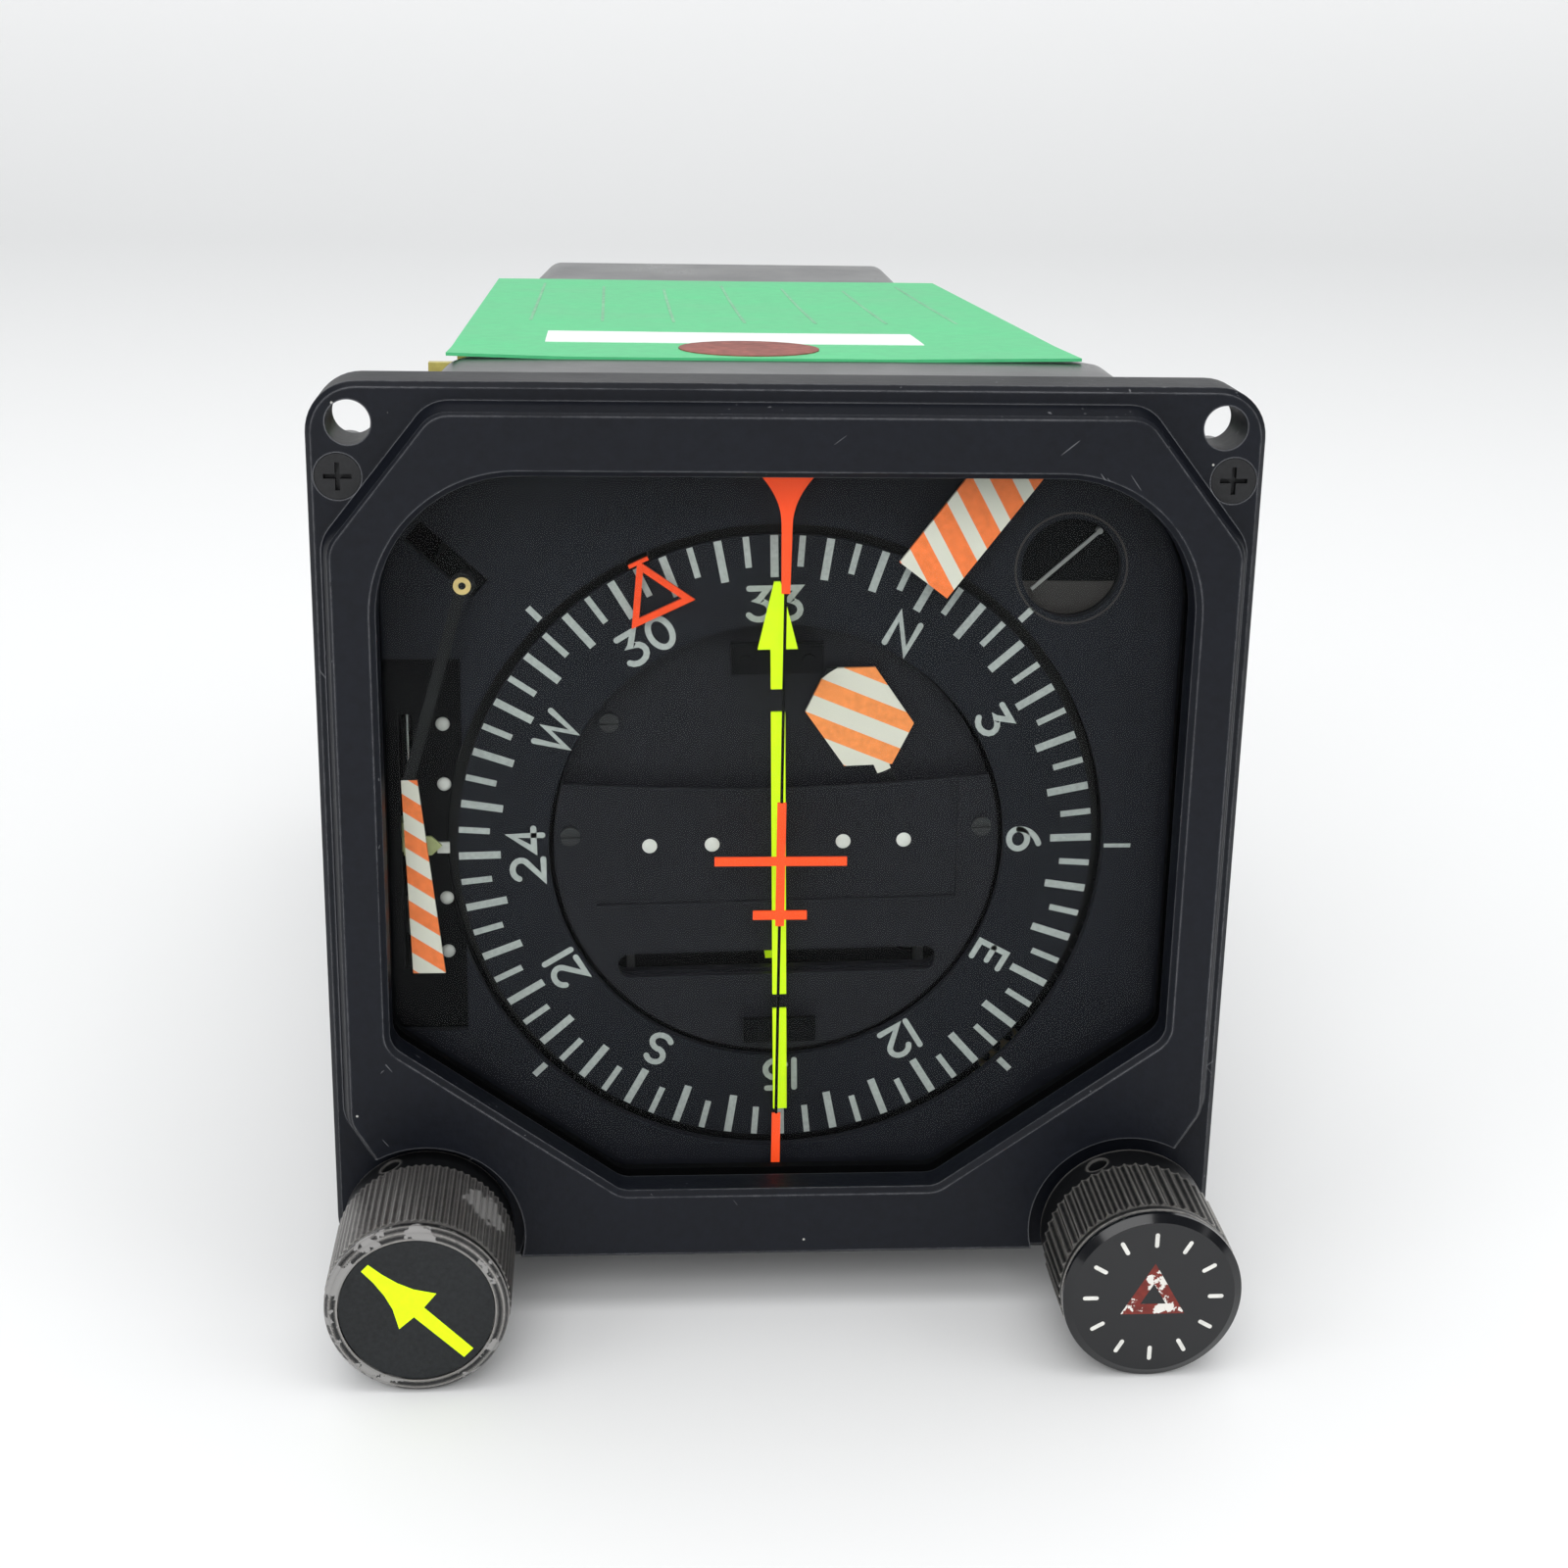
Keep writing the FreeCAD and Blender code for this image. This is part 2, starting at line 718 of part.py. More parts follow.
def make_lubber_strip():
    """Flared lubber mark, aircraft symbol and lower bar on one upright ribbon."""
    front = retainer_rear
    rear = front + lubber_thickness
    stem_z = top_edge - window_top_drop - lubber_flare_drop
    tip_z = top_edge - lubber_tip_drop
    half = lubber_stem_half_width
    wide = lubber_flare_half_width
    shoulder_z = top_edge - window_top_drop
    curve_x = half + (wide - half) * 0.22
    curve_z = (shoulder_z + stem_z) / 2 + 0.3
    points = {
        "top_left": vector(-wide, front, lubber_top),
        "top_right": vector(wide, front, lubber_top),
        "right": vector(wide, front, shoulder_z),
        "right_curve": vector(curve_x, front, curve_z),
        "right_stem": vector(half, front, stem_z),
        "right_tip": vector(half * 0.8, front, tip_z),
        "left_tip": vector(-half * 0.8, front, tip_z),
        "left_stem": vector(-half, front, stem_z),
        "left_curve": vector(-curve_x, front, curve_z),
        "left": vector(-wide, front, shoulder_z),
    }
    edges = [
        Part.LineSegment(points["top_left"], points["top_right"]).toShape(),
        Part.LineSegment(points["top_right"], points["right"]).toShape(),
        Part.Arc(points["right"], points["right_curve"], points["right_stem"]).toShape(),
        Part.LineSegment(points["right_stem"], points["right_tip"]).toShape(),
        Part.LineSegment(points["right_tip"], points["left_tip"]).toShape(),
        Part.LineSegment(points["left_tip"], points["left_stem"]).toShape(),
        Part.Arc(points["left_stem"], points["left_curve"], points["left"]).toShape(),
        Part.LineSegment(points["left"], points["top_left"]).toShape(),
    ]
    flare = Part.Face(Part.Wire(edges)).extrude(vector(0, lubber_thickness, 0))

    def bar(half_width, high_drop, low_drop):
        return block(-half_width, half_width, front, rear, top_edge - low_drop, top_edge - high_drop)

    ribbon_low = top_edge - lower_bar_bottom_drop
    ribbon = block(-strip_half_width, strip_half_width, front, front + strip_depth, ribbon_low, tip_z + 1)
    wing_half = wing_half_height
    pieces = [
        flare,
        ribbon,
        bar(symbol_half_width, symbol_top_drop, symbol_bottom_drop),
        bar(wing_half_span, wing_drop - wing_half, wing_drop + wing_half),
        bar(tail_half_span, tail_drop - wing_half, tail_drop + wing_half),
        bar(symbol_half_width, lower_bar_top_drop, lower_bar_bottom_drop),
    ]
    return fused(pieces)


# Body sections


def body_share(y):
    """How much of the flange's size the body has at a depth: 1 at the flange, 0 along the case."""
    if y <= shoulder_hold:
        return 1.0
    if y >= shoulder_length:
        return 0.0
    return 0.5 * (1 + math.cos(math.pi * (y - shoulder_hold) / (shoulder_length - shoulder_hold)))


def blend_size(case_value, shoulder_value, share):
    """A size between the case's and the shoulder's."""
    return case_value + (shoulder_value - case_value) * share


def body_corners(y):
    """The body's eight corners at a depth."""
    share = body_share(y)
    return cut_box(
        blend_size(case_half_width, shoulder_half_width, share),
        blend_size(top_edge - case_top_drop, top_edge - shoulder_top_inset, share),
        blend_size(top_edge - case_bottom_drop, bottom_edge + shoulder_bottom_inset, share),
        blend_size(case_top_cut, shoulder_top_cut, share),
        blend_size(case_bottom_cut, shoulder_bottom_cut, share),
    )


def body_wire(y, depth):
    """The body's outline at a depth, moved inward."""
    corners = inset(body_corners(y), depth)
    return rounded_outline(corners, rounding(corners, max(case_corner_radius - depth / 2, 0.8)), y)


def body_plate(y, depth, thickness):
    """A plate that fits inside the body at a depth."""
    corners = inset(body_corners(y + thickness), depth)
    return slab(corners, rounding(corners, 0.8), y, y + thickness)


shoulder_stations = [-shoulder_seat_depth, shoulder_hold]
for step in range(1, 6):
    shoulder_stations.append(shoulder_hold + (shoulder_length - shoulder_hold) * step / 5)


boss_radius = 2.3
boss_length = 4.5
lobe_wall = 0.7
seat_width = 2.4
seat_depth = 3.0
seat_rise = 8.0
seat_height = 12.0
pinion_pocket_radius = pitch_radius(knob_pinion_teeth, fine_module) + fine_addendum * fine_module + running_gap
pinion_pocket_depth = bulkhead_setback + bulkhead_thickness + push_travel + 1.6


def shoulder_solid(depth):
    """The flaring body, moved inward by a depth."""
    return skin([body_wire(y, depth) for y in shoulder_stations])


def make_shoulder_frame():
    """Black casting that flares from the case out to the flange."""
    frame = shoulder_solid(0)
    for centre in knob_centres:
        lobe_rear = pinion_pocket_depth + lobe_wall
        frame = frame.fuse(round_bar(centre, pinion_pocket_radius + lobe_wall, -shoulder_seat_depth, lobe_rear))
    for centre in bezel_screw_points:
        frame = frame.fuse(round_bar(centre, boss_radius, -shoulder_seat_depth, boss_length))
        frame = frame.cut(round_bar(centre, bezel_screw_shank_radius + 0.02, -1, boss_length + 1))
    frame = frame.cut(shoulder_solid(shoulder_wall))
    for centre in knob_centres:
        frame = frame.cut(round_bar(centre, pinion_pocket_radius, -1, pinion_pocket_depth))
    seat_front = bulkhead_setback + bulkhead_thickness
    for side in (-1, 1):
        near = side * (shoulder_half_width - shoulder_wall - seat_width)
        far = side * (shoulder_half_width - shoulder_wall * 0.7)
        seat = block(
            min(near, far), max(near, far), seat_front, seat_front + seat_depth,
            dial_z + seat_rise, dial_z + seat_rise + seat_height,
        )
        frame = frame.fuse(seat)
    spigot_depth = cover_wall + plate_gap
    spigot_corners = inset(body_corners(shoulder_length), spigot_depth)
    core_corners = inset(body_corners(shoulder_length), spigot_depth + spigot_wall)
    band_start = shoulder_length - 1.5
    band = slab(spigot_corners, rounding(spigot_corners, 1.5), band_start, shoulder_length + spigot_length)
    core = slab(core_corners, rounding(core_corners, 1.0), band_start - 1, shoulder_length + spigot_length + 1)
    frame = frame.fuse(band.cut(core))
    return frame.fuse(band.cut(core)).removeSplitter()


# Dial mask and glideslope


def make_dial_mask():
    """Fixed plate round the card, with the indicator hole, flag slot and glideslope cut-out."""
    front = mask_setback
    rear = front + mask_thickness
    half = shoulder_half_width - shoulder_wall - plate_gap
    corners = cut_box(
        half,
        top_edge - shoulder_top_inset - shoulder_wall - plate_gap,
        bottom_edge + shoulder_bottom_inset + shoulder_wall + plate_gap,
        shoulder_top_cut,
        mask_low_cut,
    )
    mask = slab(corners, rounding(corners, 0.8), front, rear)
    mask = mask.cut(round_bar(dial_centre, mask_opening_radius, front - 1, rear + 1))
    slaving_centre = (slaving_x, top_edge - slaving_drop)
    mask = mask.cut(round_bar(slaving_centre, slaving_hole_radius, front - 1, rear + 1))
    scale_top = top_edge - scale_top_drop
    scale_bottom = top_edge - scale_bottom_drop
    mask = mask.cut(block(scale_outer_x, scale_inner_x, front - 1, rear + 1, scale_bottom, scale_top))
    pivot = (gs_pivot_x, top_edge - gs_pivot_drop)
    slot_half = 1.2
    slot = block(-6.4, slot_half * 1.6, front - 1, rear + 1, -slot_half, slot_half)
    slot.rotate(vector(0, 0, 0), turn_axis, 42)
    slot.translate(vector(pivot[0], 0, pivot[1]))
    mask = mask.cut(slot)
    hdg_pivot = (hdg_pivot_x, top_edge - hdg_pivot_drop)
    mask = mask.cut(round_bar(hdg_pivot, flag_shaft_radius + 0.5, front - 1, rear + 1))
    return mask


mask_post_radius = 1.5


def make_mask_posts():
    """Four posts that hold the mask off the front bulkhead."""
    high = top_edge - 6.4
    low = bottom_edge + 4.8
    centres = mirrored_points(shoulder_half_width - shoulder_top_cut - 0.4, high) + mirrored_points(17.0, low)
    return [round_bar(centre, mask_post_radius, mask_setback + mask_thickness, bulkhead_setback) for centre in centres]


def make_glideslope_scale():
    """Recessed plate beside the card that carries the glideslope dots."""
    front = scale_setback
    rear = front + scale_thickness
    plate = block(
        scale_outer_x - 0.8, scale_inner_x + 1.2, front, rear,
        top_edge - scale_bottom_drop - 1.0, top_edge - scale_top_drop + 1.0,
    )
    plate = plate.cut(round_bar(dial_centre, mask_opening_radius, front - 1, rear + 1))
    slot = block(
        gs_pointer_rod_x - 0.7, gs_pointer_rod_x + 0.7, front - 1, rear + 1,
        dial_z - gs_travel - 1.4, dial_z + gs_travel + 1.4,
    )
    ledge_height = top_edge - scale_top_drop + 1.0
    spacer = block(
        scale_outer_x - 0.8, scale_inner_x, mask_setback + mask_thickness, front,
        ledge_height - 0.9, ledge_height,
    )
    low_spacer = spacer.copy()
    low_spacer.translate(vector(0, 0, -(scale_bottom_drop - scale_top_drop) - 1.1))
    return fused([plate.cut(slot), spacer, low_spacer])


gs_rod_y = scale_setback + scale_thickness + 2.2
gs_rod_radius = 0.6


def make_glideslope_guide():
    """Upright rod behind the scale on which the glideslope pointer rides."""
    half = gs_travel + 3.0
    rod = Part.makeCylinder(
        gs_rod_radius, 2 * half, vector(gs_pointer_rod_x, gs_rod_y, dial_z - half), vector(0, 0, 1)
    )
    pieces = [rod]
    for z in (dial_z - half, dial_z + half - 1.0):
        pieces.append(
            block(gs_pointer_rod_x - 1.1, gs_pointer_rod_x + 1.1, scale_setback + scale_thickness, gs_rod_y + 1.1, z, z + 1.0)
        )
    return fused(pieces)


def make_glideslope_pointer():
    """Five-sided pointer with a stem through the slot and a rider on the rod."""
    front = scale_setback - 0.7
    rear = front + 0.3
    tip_x = gs_pointer_x
    corners = [
        (tip_x - 3.7, dial_z + 0.95),
        (tip_x - 1.0, dial_z + 0.95),
        (tip_x, dial_z),
        (tip_x - 1.0, dial_z - 0.95),
        (tip_x - 3.7, dial_z - 0.95),
    ]
    points = [vector(x, front, z) for x, z in corners]
    pointer = Part.Face(Part.makePolygon(points + points[:1])).extrude(vector(0, rear - front, 0))
    stem = block(gs_pointer_rod_x - 0.35, gs_pointer_rod_x + 0.35, front, gs_rod_y, dial_z - 0.6, dial_z + 0.6)
    rider = block(gs_pointer_rod_x - 1.1, gs_pointer_rod_x + 1.1, gs_rod_y - 1.1, gs_rod_y + 1.1, dial_z - 1.5, dial_z + 1.5)
    bore = Part.makeCylinder(
        gs_rod_radius + bearing_clearance, 8, vector(gs_pointer_rod_x, gs_rod_y, dial_z - 4), vector(0, 0, 1)
    )
    return fused([pointer, stem, rider]).cut(bore)


# Compass card group


def make_compass_card():
    """The flat ring that carries the compass marks."""
    return tube(dial_centre, card_outer_radius, card_inner_radius, card_front, card_rear)


def make_card_drum():
    """Cup behind the card, with the bug ring's track, a back wall and the hollow hub."""
    back_front = drum_back_setback
    back_rear = back_front + drum_back_thickness
    lip_front = bug_ring_front + gear_width + 0.3
    hub_rear = card_gear_front + gear_width
    inner = drum_radius - drum_wall
    bore = course_shaft_radius + bearing_clearance
    profile = [
        (inner, card_rear),
        (drum_radius, card_rear),
        (drum_radius, lip_front),
        (drum_radius + 0.9, lip_front),
        (drum_radius + 0.9, lip_front + 0.7),
        (drum_radius, lip_front + 0.7),
        (drum_radius, back_rear),
        (hub_radius, back_rear),
        (hub_radius, hub_rear),
        (bore, hub_rear),
        (bore, back_front),
        (inner, back_front),
    ]
    drum = turned(dial_centre, profile)
    for angle in range(0, 360, 60):
        drum = drum.cut(round_bar(on_circle(inner * 0.62, angle + 30), 5.2, back_front - 1, back_rear + 1))
    return drum


card_gear_tooth = line_angle(dial_centre, servo_centre)


def make_card_gear():
    """The card's gear on the rear of the hub."""
    hub_rear = card_gear_front + gear_width
    wheel = gear(dial_centre, card_gear_teeth, servo_module, card_gear_tooth, card_gear_front, gear_width)
    return wheel.cut(round_bar(dial_centre, hub_radius, card_gear_front - 1, hub_rear + 1))


# Heading bug group

bug_ring_inner = drum_radius + 0.06
bug_ring_rear = bug_ring_front + gear_width
bug_ring_tooth = line_angle(dial_centre, idler_centre)


def make_bug_ring():
    """Toothed ring that turns on the drum behind the bug's carrier."""
    ring = gear(dial_centre, bug_ring_teeth, fine_module, bug_ring_tooth, bug_ring_front, gear_width)
    return ring.cut(round_bar(dial_centre, bug_ring_inner, bug_ring_front - 1, bug_ring_rear + 1))


def triangle(centre_radius, outer_side, y):
    """A triangle wire with one corner pointing outward."""
    reach = outer_side / math.sqrt(3)
    middle = (dial_centre[0] + centre_radius, dial_centre[1])
    corners = [on_circle(reach, angle, middle) for angle in (0, 120, 240)]
    points = [vector(x, y, z) for x, z in corners]
    return Part.makePolygon(points + points[:1])


def make_heading_bug():
    """Hollow triangle on an arm that reaches back round the card to a carrier ring on the drum."""
    front = bug_setback
    rear = front + pointer_thickness
    centre_radius = bug_apex_radius - bug_side / math.sqrt(3)
    inner_side = bug_side - 2 * math.sqrt(3) * bug_stroke
    plate = Part.Face(triangle(centre_radius, bug_side, front)).extrude(vector(0, rear - front, 0))
    hole = Part.Face(triangle(centre_radius, inner_side, front - 1)).extrude(vector(0, rear - front + 2, 0))
    arm = tube(dial_centre, bug_arm_outer, bug_arm_inner, front, bug_carrier_rear)
    low = dial_z - bug_arm_half_width
    high = dial_z + bug_arm_half_width
    arm = arm.common(block(0, bug_arm_outer + 1, front - 1, bug_carrier_rear + 1, low, high))
    carrier = tube(
        dial_centre, bug_arm_outer + bug_carrier_lap, bug_ring_inner, bug_carrier_front, bug_carrier_rear
    )
    return spun(fused([plate.cut(hole), arm, carrier]), bug_angle)


# Course carriage group


def plate_outline_face(y):
    """The lower front plate: a circle cut by a shallow arc near its top."""
    radius = carriage_radius
    centre = dial_centre
    edge_x = math.sqrt(radius**2 - plate_top**2)
    left = vector(centre[0] - edge_x, y, centre[1] + plate_top)
    right = vector(centre[0] + edge_x, y, centre[1] + plate_top)
    sag_point = vector(centre[0], y, centre[1] + plate_top - plate_sag)
    low = vector(centre[0], y, centre[1] - radius)
    upper = Part.Arc(left, sag_point, right).toShape()
    lower = Part.Arc(right, low, left).toShape()
    return Part.Face(Part.Wire([upper, lower]))


def deviation_slot(front, rear, growth):
    """The long slot that the deviation bar's post moves in."""
    half = bar_travel + 2.0 + growth
    z = dial_z + slot_offset
    height = slot_height / 2 + growth
    corners = [(-half - height, z + height), (half + height, z + height), (half + height, z - height), (-half - height, z - height)]
    return slab(corners, rounding(corners, height * 0.98), front, rear)


course_screw_rim_gap = 1.6
course_screw_radius = carriage_radius - course_screw_rim_gap
course_screw_points = [(course_screw_radius, angle) for angle in (4.0, 176.0, 143.0)]


def make_course_plate():
    """Front plate with the deviation scale's shallow recess and the long slot."""
    front = plate_setback
    rear = front + plate_thickness
    plate = plate_outline_face(front).extrude(vector(0, plate_thickness, 0))
    recess_top = dial_z + plate_top + 1
    recess_bottom = dial_z + plate_top - recess_height
    plate = plate.cut(block(-recess_half_width, recess_half_width, front - 1, front + recess_depth, recess_bottom, recess_top))
    plate = plate.cut(deviation_slot(front - 1, rear + 1, 0))
    for radius, angle in course_screw_points[:2]:
        centre = on_circle(radius, angle)
        plate = plate.fuse(tube(centre, 1.1, 0.65, front, course_disc_front))
        plate = plate.cut(round_bar(centre, 0.65, front - 1, course_disc_front + 1))
    return spun(plate, course_turn)


def make_course_disc():
    """The round carriage plate behind the front plate."""
    front = course_disc_front
    rear = front + course_disc_thickness
    disc = round_bar(dial_centre, carriage_radius, front, rear)
    disc = disc.cut(deviation_slot(front - 1, rear + 1, 0.3))
    for radius, angle in course_screw_points:
        disc = disc.cut(round_bar(on_circle(radius, angle), 0.55, front - 1, rear + 1))
    disc = disc.cut(round_bar(dial_centre, course_shaft_radius, front - 1, rear + 1))
    pivot = (nav_pivot_x, dial_z + nav_pivot_z)
    disc = disc.cut(round_bar(pivot, flag_shaft_radius + 0.04, front - 1, rear + 1))
    return spun(disc, course_turn)


def make_course_screws():
    """Slotted screws that hold the front plate and the disc."""
    screws = []
    for index, (radius, angle) in enumerate(course_screw_points):
        centre = on_circle(radius, angle)
        seat = plate_setback if index < 2 else course_disc_front
        head = round_bar(centre, 0.95, seat - 0.35, seat)
        slit = block(centre[0] - 1.2, centre[0] + 1.2, seat - 1, seat - 0.15, centre[1] - 0.15, centre[1] + 0.15)
        shank = round_bar(centre, 0.5, seat, course_disc_front + course_disc_thickness)
        screws.append(spun(head.cut(slit).fuse(shank), course_turn))
    return screws


def make_course_arrow():
    """Arrow head and short shaft in front of the card."""
    front = pointer_setback
    corners = [
        (-arrow_tip_half_width, arrow_tip_radius),
        (arrow_tip_half_width, arrow_tip_radius),
        (arrow_head_half_width, arrow_head_base),
        (pointer_half_width, arrow_head_base),
        (pointer_half_width, arrow_inner_radius),
        (-pointer_half_width, arrow_inner_radius),
        (-pointer_half_width, arrow_head_base),
        (-arrow_head_half_width, arrow_head_base),
    ]
    points = [vector(x, front, dial_z + z) for x, z in corners]
    arrow = Part.Face(Part.makePolygon(points + points[:1])).extrude(vector(0, pointer_thickness, 0))
    return spun(arrow, course_turn)


def make_course_tail():
    """Tail of the course pointer."""
    tail = block(
        -pointer_half_width, pointer_half_width, pointer_setback, pointer_setback + pointer_thickness,
        dial_z - tail_outer_radius, dial_z - tail_inner_radius,
    )
    return spun(tail, course_turn)


def make_arrow_clamps():
    """Bridges behind the arrow and the tail, on posts from the disc and the plate."""
    clamps = []
    top = pointer_setback + pointer_thickness
    for seat, z0, z1, half, reach in (
        (course_disc_front, clamp_inner, clamp_inner + 3.0, 4.4, 3.0),
        (plate_setback, -clamp_inner - 2.2, -clamp_inner + 0.2, 3.6, 2.5),
    ):
        pieces = [block(-half, half, top, top + 0.8, dial_z + z0, dial_z + z1)]
        for side in (-1, 1):
            centre = (side * reach, dial_z + (z0 + z1) / 2 - 0.3)
            x, z = centre
            pieces.append(block(x - 0.8, x + 0.8, top + 0.8, seat, z - 0.8, z + 0.8))
            pieces.append(round_bar(centre, 0.7, top - 0.3, top))
        clamps.append(spun(fused(pieces), course_turn))
    return clamps


course_gear_rear = course_gear_front + gear_width
layshaft_rear_tooth = line_angle(layshaft_centre, dial_centre)
course_gear_tooth = mesh_tooth(
    layshaft_centre, layshaft_rear_teeth, layshaft_rear_tooth, dial_centre, course_gear_teeth
)


course_shaft_tail = 8.0


def make_course_shaft():
    """The carriage's shaft through the hollow hub to the resolver."""
    rear = middle_setback + middle_thickness + course_shaft_tail
    shaft = round_bar(dial_centre, course_shaft_radius, course_disc_front, rear)
    collar = tube(
        dial_centre, course_shaft_radius + 2, course_shaft_radius,
        course_disc_front + course_disc_thickness, rider_front - 0.05,
    )
    return spun(shaft.fuse(collar), course_turn)


def make_course_gear():
    """The large spoked gear that turns on the course shaft."""
    wheel = gear(dial_centre, course_gear_teeth, coarse_module, course_gear_tooth, course_gear_front, gear_width)
    for angle in range(0, 360, 72):
        centre = on_circle(course_gear_radius * 0.58, angle)
        hole = round_bar(centre, course_gear_radius * 0.24, course_gear_front - 1, course_gear_rear + 1)
        wheel = wheel.cut(hole)
    hub = round_bar(dial_centre, course_shaft_radius + 3, course_gear_front, course_gear_rear + 2)
    bore = round_bar(dial_centre, course_shaft_radius + bearing_clearance, course_gear_front - 1, course_gear_rear + 3)
    return wheel.fuse(hub).cut(bore)


rider_height = 2.2
rider_rod_radius = 0.5
rider_rod_y = rider_front + 1.0
rider_z = dial_z + slot_offset


def make_deviation_guide():
    """Rod behind the carriage disc on which the deviation bar's rider slides."""
    half = bar_travel + 2.4
    rod = Part.makeCylinder(rider_rod_radius, 2 * half, vector(-half, rider_rod_y, rider_z), vector(1, 0, 0))
    pieces = [rod]
    disc_rear = course_disc_front + course_disc_thickness
    for x in (-half, half - 0.8):
        pieces.append(block(x, x + 0.8, disc_rear, rider_rod_y + 0.9, rider_z - 2.6, rider_z + 0.8))
    return spun(fused(pieces), course_turn)


def make_deviation_bar():
    """The bar in front with its post back through the slot and the rider on the rod."""
    front = pointer_setback
    bar = block(-pointer_half_width, pointer_half_width, front, front + pointer_thickness, dial_z + bar_bottom, dial_z + bar_top)
    post = block(-0.4, 0.4, front + pointer_thickness, rider_front + 0.5, rider_z - 0.5, rider_z + 0.5)
    half = 1.0
    rider = block(-half, half, rider_front, rider_front + 2.0, rider_z - rider_height / 2, rider_z + rider_height / 2)
    bore = Part.makeCylinder(
        rider_rod_radius + bearing_clearance, 6, vector(-3, rider_rod_y, rider_z), vector(1, 0, 0)
    )
    whole = fused([bar, post, rider.cut(bore)])
    return spun(whole.cut(bore), course_turn)


def make_nav_flag():
    """Six-sided flag on an arm that swings it down behind the front plate."""
    front = nav_front
    rear = front + flag_thickness
    corners = [(-5.3, 0.7), (-3.2, 5.0), (1.5, 5.0), (5.3, -0.7), (3.2, -4.8), (-1.5, -4.9)]
    centre = (nav_centre_x, dial_z + nav_centre_z)
    points = [vector(centre[0] + x, front, centre[1] + z) for x, z in corners]
    plate = Part.Face(Part.makePolygon(points + points[:1])).extrude(vector(0, rear - front, 0))
    pivot = (nav_pivot_x, dial_z + nav_pivot_z)
    arm_length = math.hypot(pivot[0] - centre[0], pivot[1] - centre[1]) - 3.5
    arm = block(0, arm_length, front, rear, -0.7, 0.7)
    arm.rotate(vector(0, 0, 0), turn_axis, -line_angle(pivot, centre))
    arm.translate(vector(pivot[0], 0, pivot[1]))
    hub = round_bar(pivot, flag_hub_radius, front, rear)
    shaft = round_bar(pivot, flag_shaft_radius, front, course_disc_front + course_disc_thickness + 1.6)
    return spun(fused([plate, arm, hub, shaft]), course_turn)


def make_nav_flag_meter():
    """The small movement on the carriage disc that turns the flag."""
    pivot = (nav_pivot_x, dial_z + nav_pivot_z)
    front = course_disc_front + course_disc_thickness
    can = round_bar(pivot, 2.4, front, front + 2.3)
    return spun(can.cut(round_bar(pivot, flag_shaft_radius + 0.05, front - 1, front + 1.9)), course_turn)


# Fixed flags


def flag_shaft(pivot):
    """A flag's shaft with a head in front."""
    head = round_bar(pivot, flag_shaft_radius + 0.35, flag_setback - 0.25, flag_setback)
    return head.fuse(round_bar(pivot, flag_shaft_radius, flag_setback, meter_front + meter_depth - 1.2))


flag_rear = flag_setback + flag_thickness
meter_front = mask_setback + mask_thickness
meter_depth = 6.0


def make_hdg_flag():
    """Striped flag that swings up behind the top of the bezel."""
    front = flag_setback
    pivot = (hdg_pivot_x, top_edge - hdg_pivot_drop)
    plate = block(1.6, hdg_length, front, flag_rear, -hdg_width / 2, hdg_width / 2)
    arm = block(0, 1.7, front, flag_rear, -1.0, 1.0)
    flag = fused([plate, arm])
    flag.rotate(vector(0, 0, 0), turn_axis, -hdg_angle)
    flag.translate(vector(pivot[0], 0, pivot[1]))
    return fused([flag, round_bar(pivot, flag_hub_radius, front, flag_rear), flag_shaft(pivot)])


def make_gs_flag():
    """Tapered striped flag hanging from an arm beside the glideslope scale."""
    front = flag_setback
    pivot = (gs_pivot_x, top_edge - gs_pivot_drop)
    top = (gs_flag_top_x, top_edge - gs_flag_top_drop)
    half_top = gs_flag_top_width / 2
    lean = 1.4
    corners = [
        (top[0] - half_top, top[1]),
        (top[0] + half_top, top[1]),
        (top[0] + lean + gs_flag_width / 2, top[1] - gs_flag_length),
        (top[0] + lean - gs_flag_width / 2, top[1] - gs_flag_length),
    ]
    points = [vector(x, front, z) for x, z in corners]
    plate = Part.Face(Part.makePolygon(points + points[:1])).extrude(vector(0, flag_thickness, 0))
    arm_length = math.hypot(pivot[0] - top[0], pivot[1] - top[1]) + 0.6
    arm = block(0, arm_length, front, flag_rear, -0.55, 0.55)
    arm.rotate(vector(0, 0, 0), turn_axis, -line_angle(pivot, top))
    arm.translate(vector(pivot[0], 0, pivot[1]))
    hub = round_bar(pivot, flag_hub_radius, front, flag_rear)
    return fused([plate, arm, hub, flag_shaft(pivot)])


def make_flag_meter(pivot, radius):
    """The small movement behind the mask that turns a flag's shaft."""
    rear = meter_front + meter_depth
    can = round_bar(pivot, radius, meter_front, rear)
    return can.cut(round_bar(pivot, flag_shaft_radius + 0.05, meter_front - 1, rear - 0.8))


def make_flag_meters():
    """Both flag movements."""
    hdg_pivot = (hdg_pivot_x, top_edge - hdg_pivot_drop)
    gs_pivot = (gs_pivot_x, top_edge - gs_pivot_drop)
    return [make_flag_meter(hdg_pivot, 2.4), make_flag_meter(gs_pivot, 3.0)]


slaving_centre = (slaving_x, top_edge - slaving_drop)
needle_pivot_reach = 4.35
needle_pivot_angle = 49.4
needle_angle = 222.0
needle_length = 8.5
needle_y = mask_setback + mask_thickness + 0.45


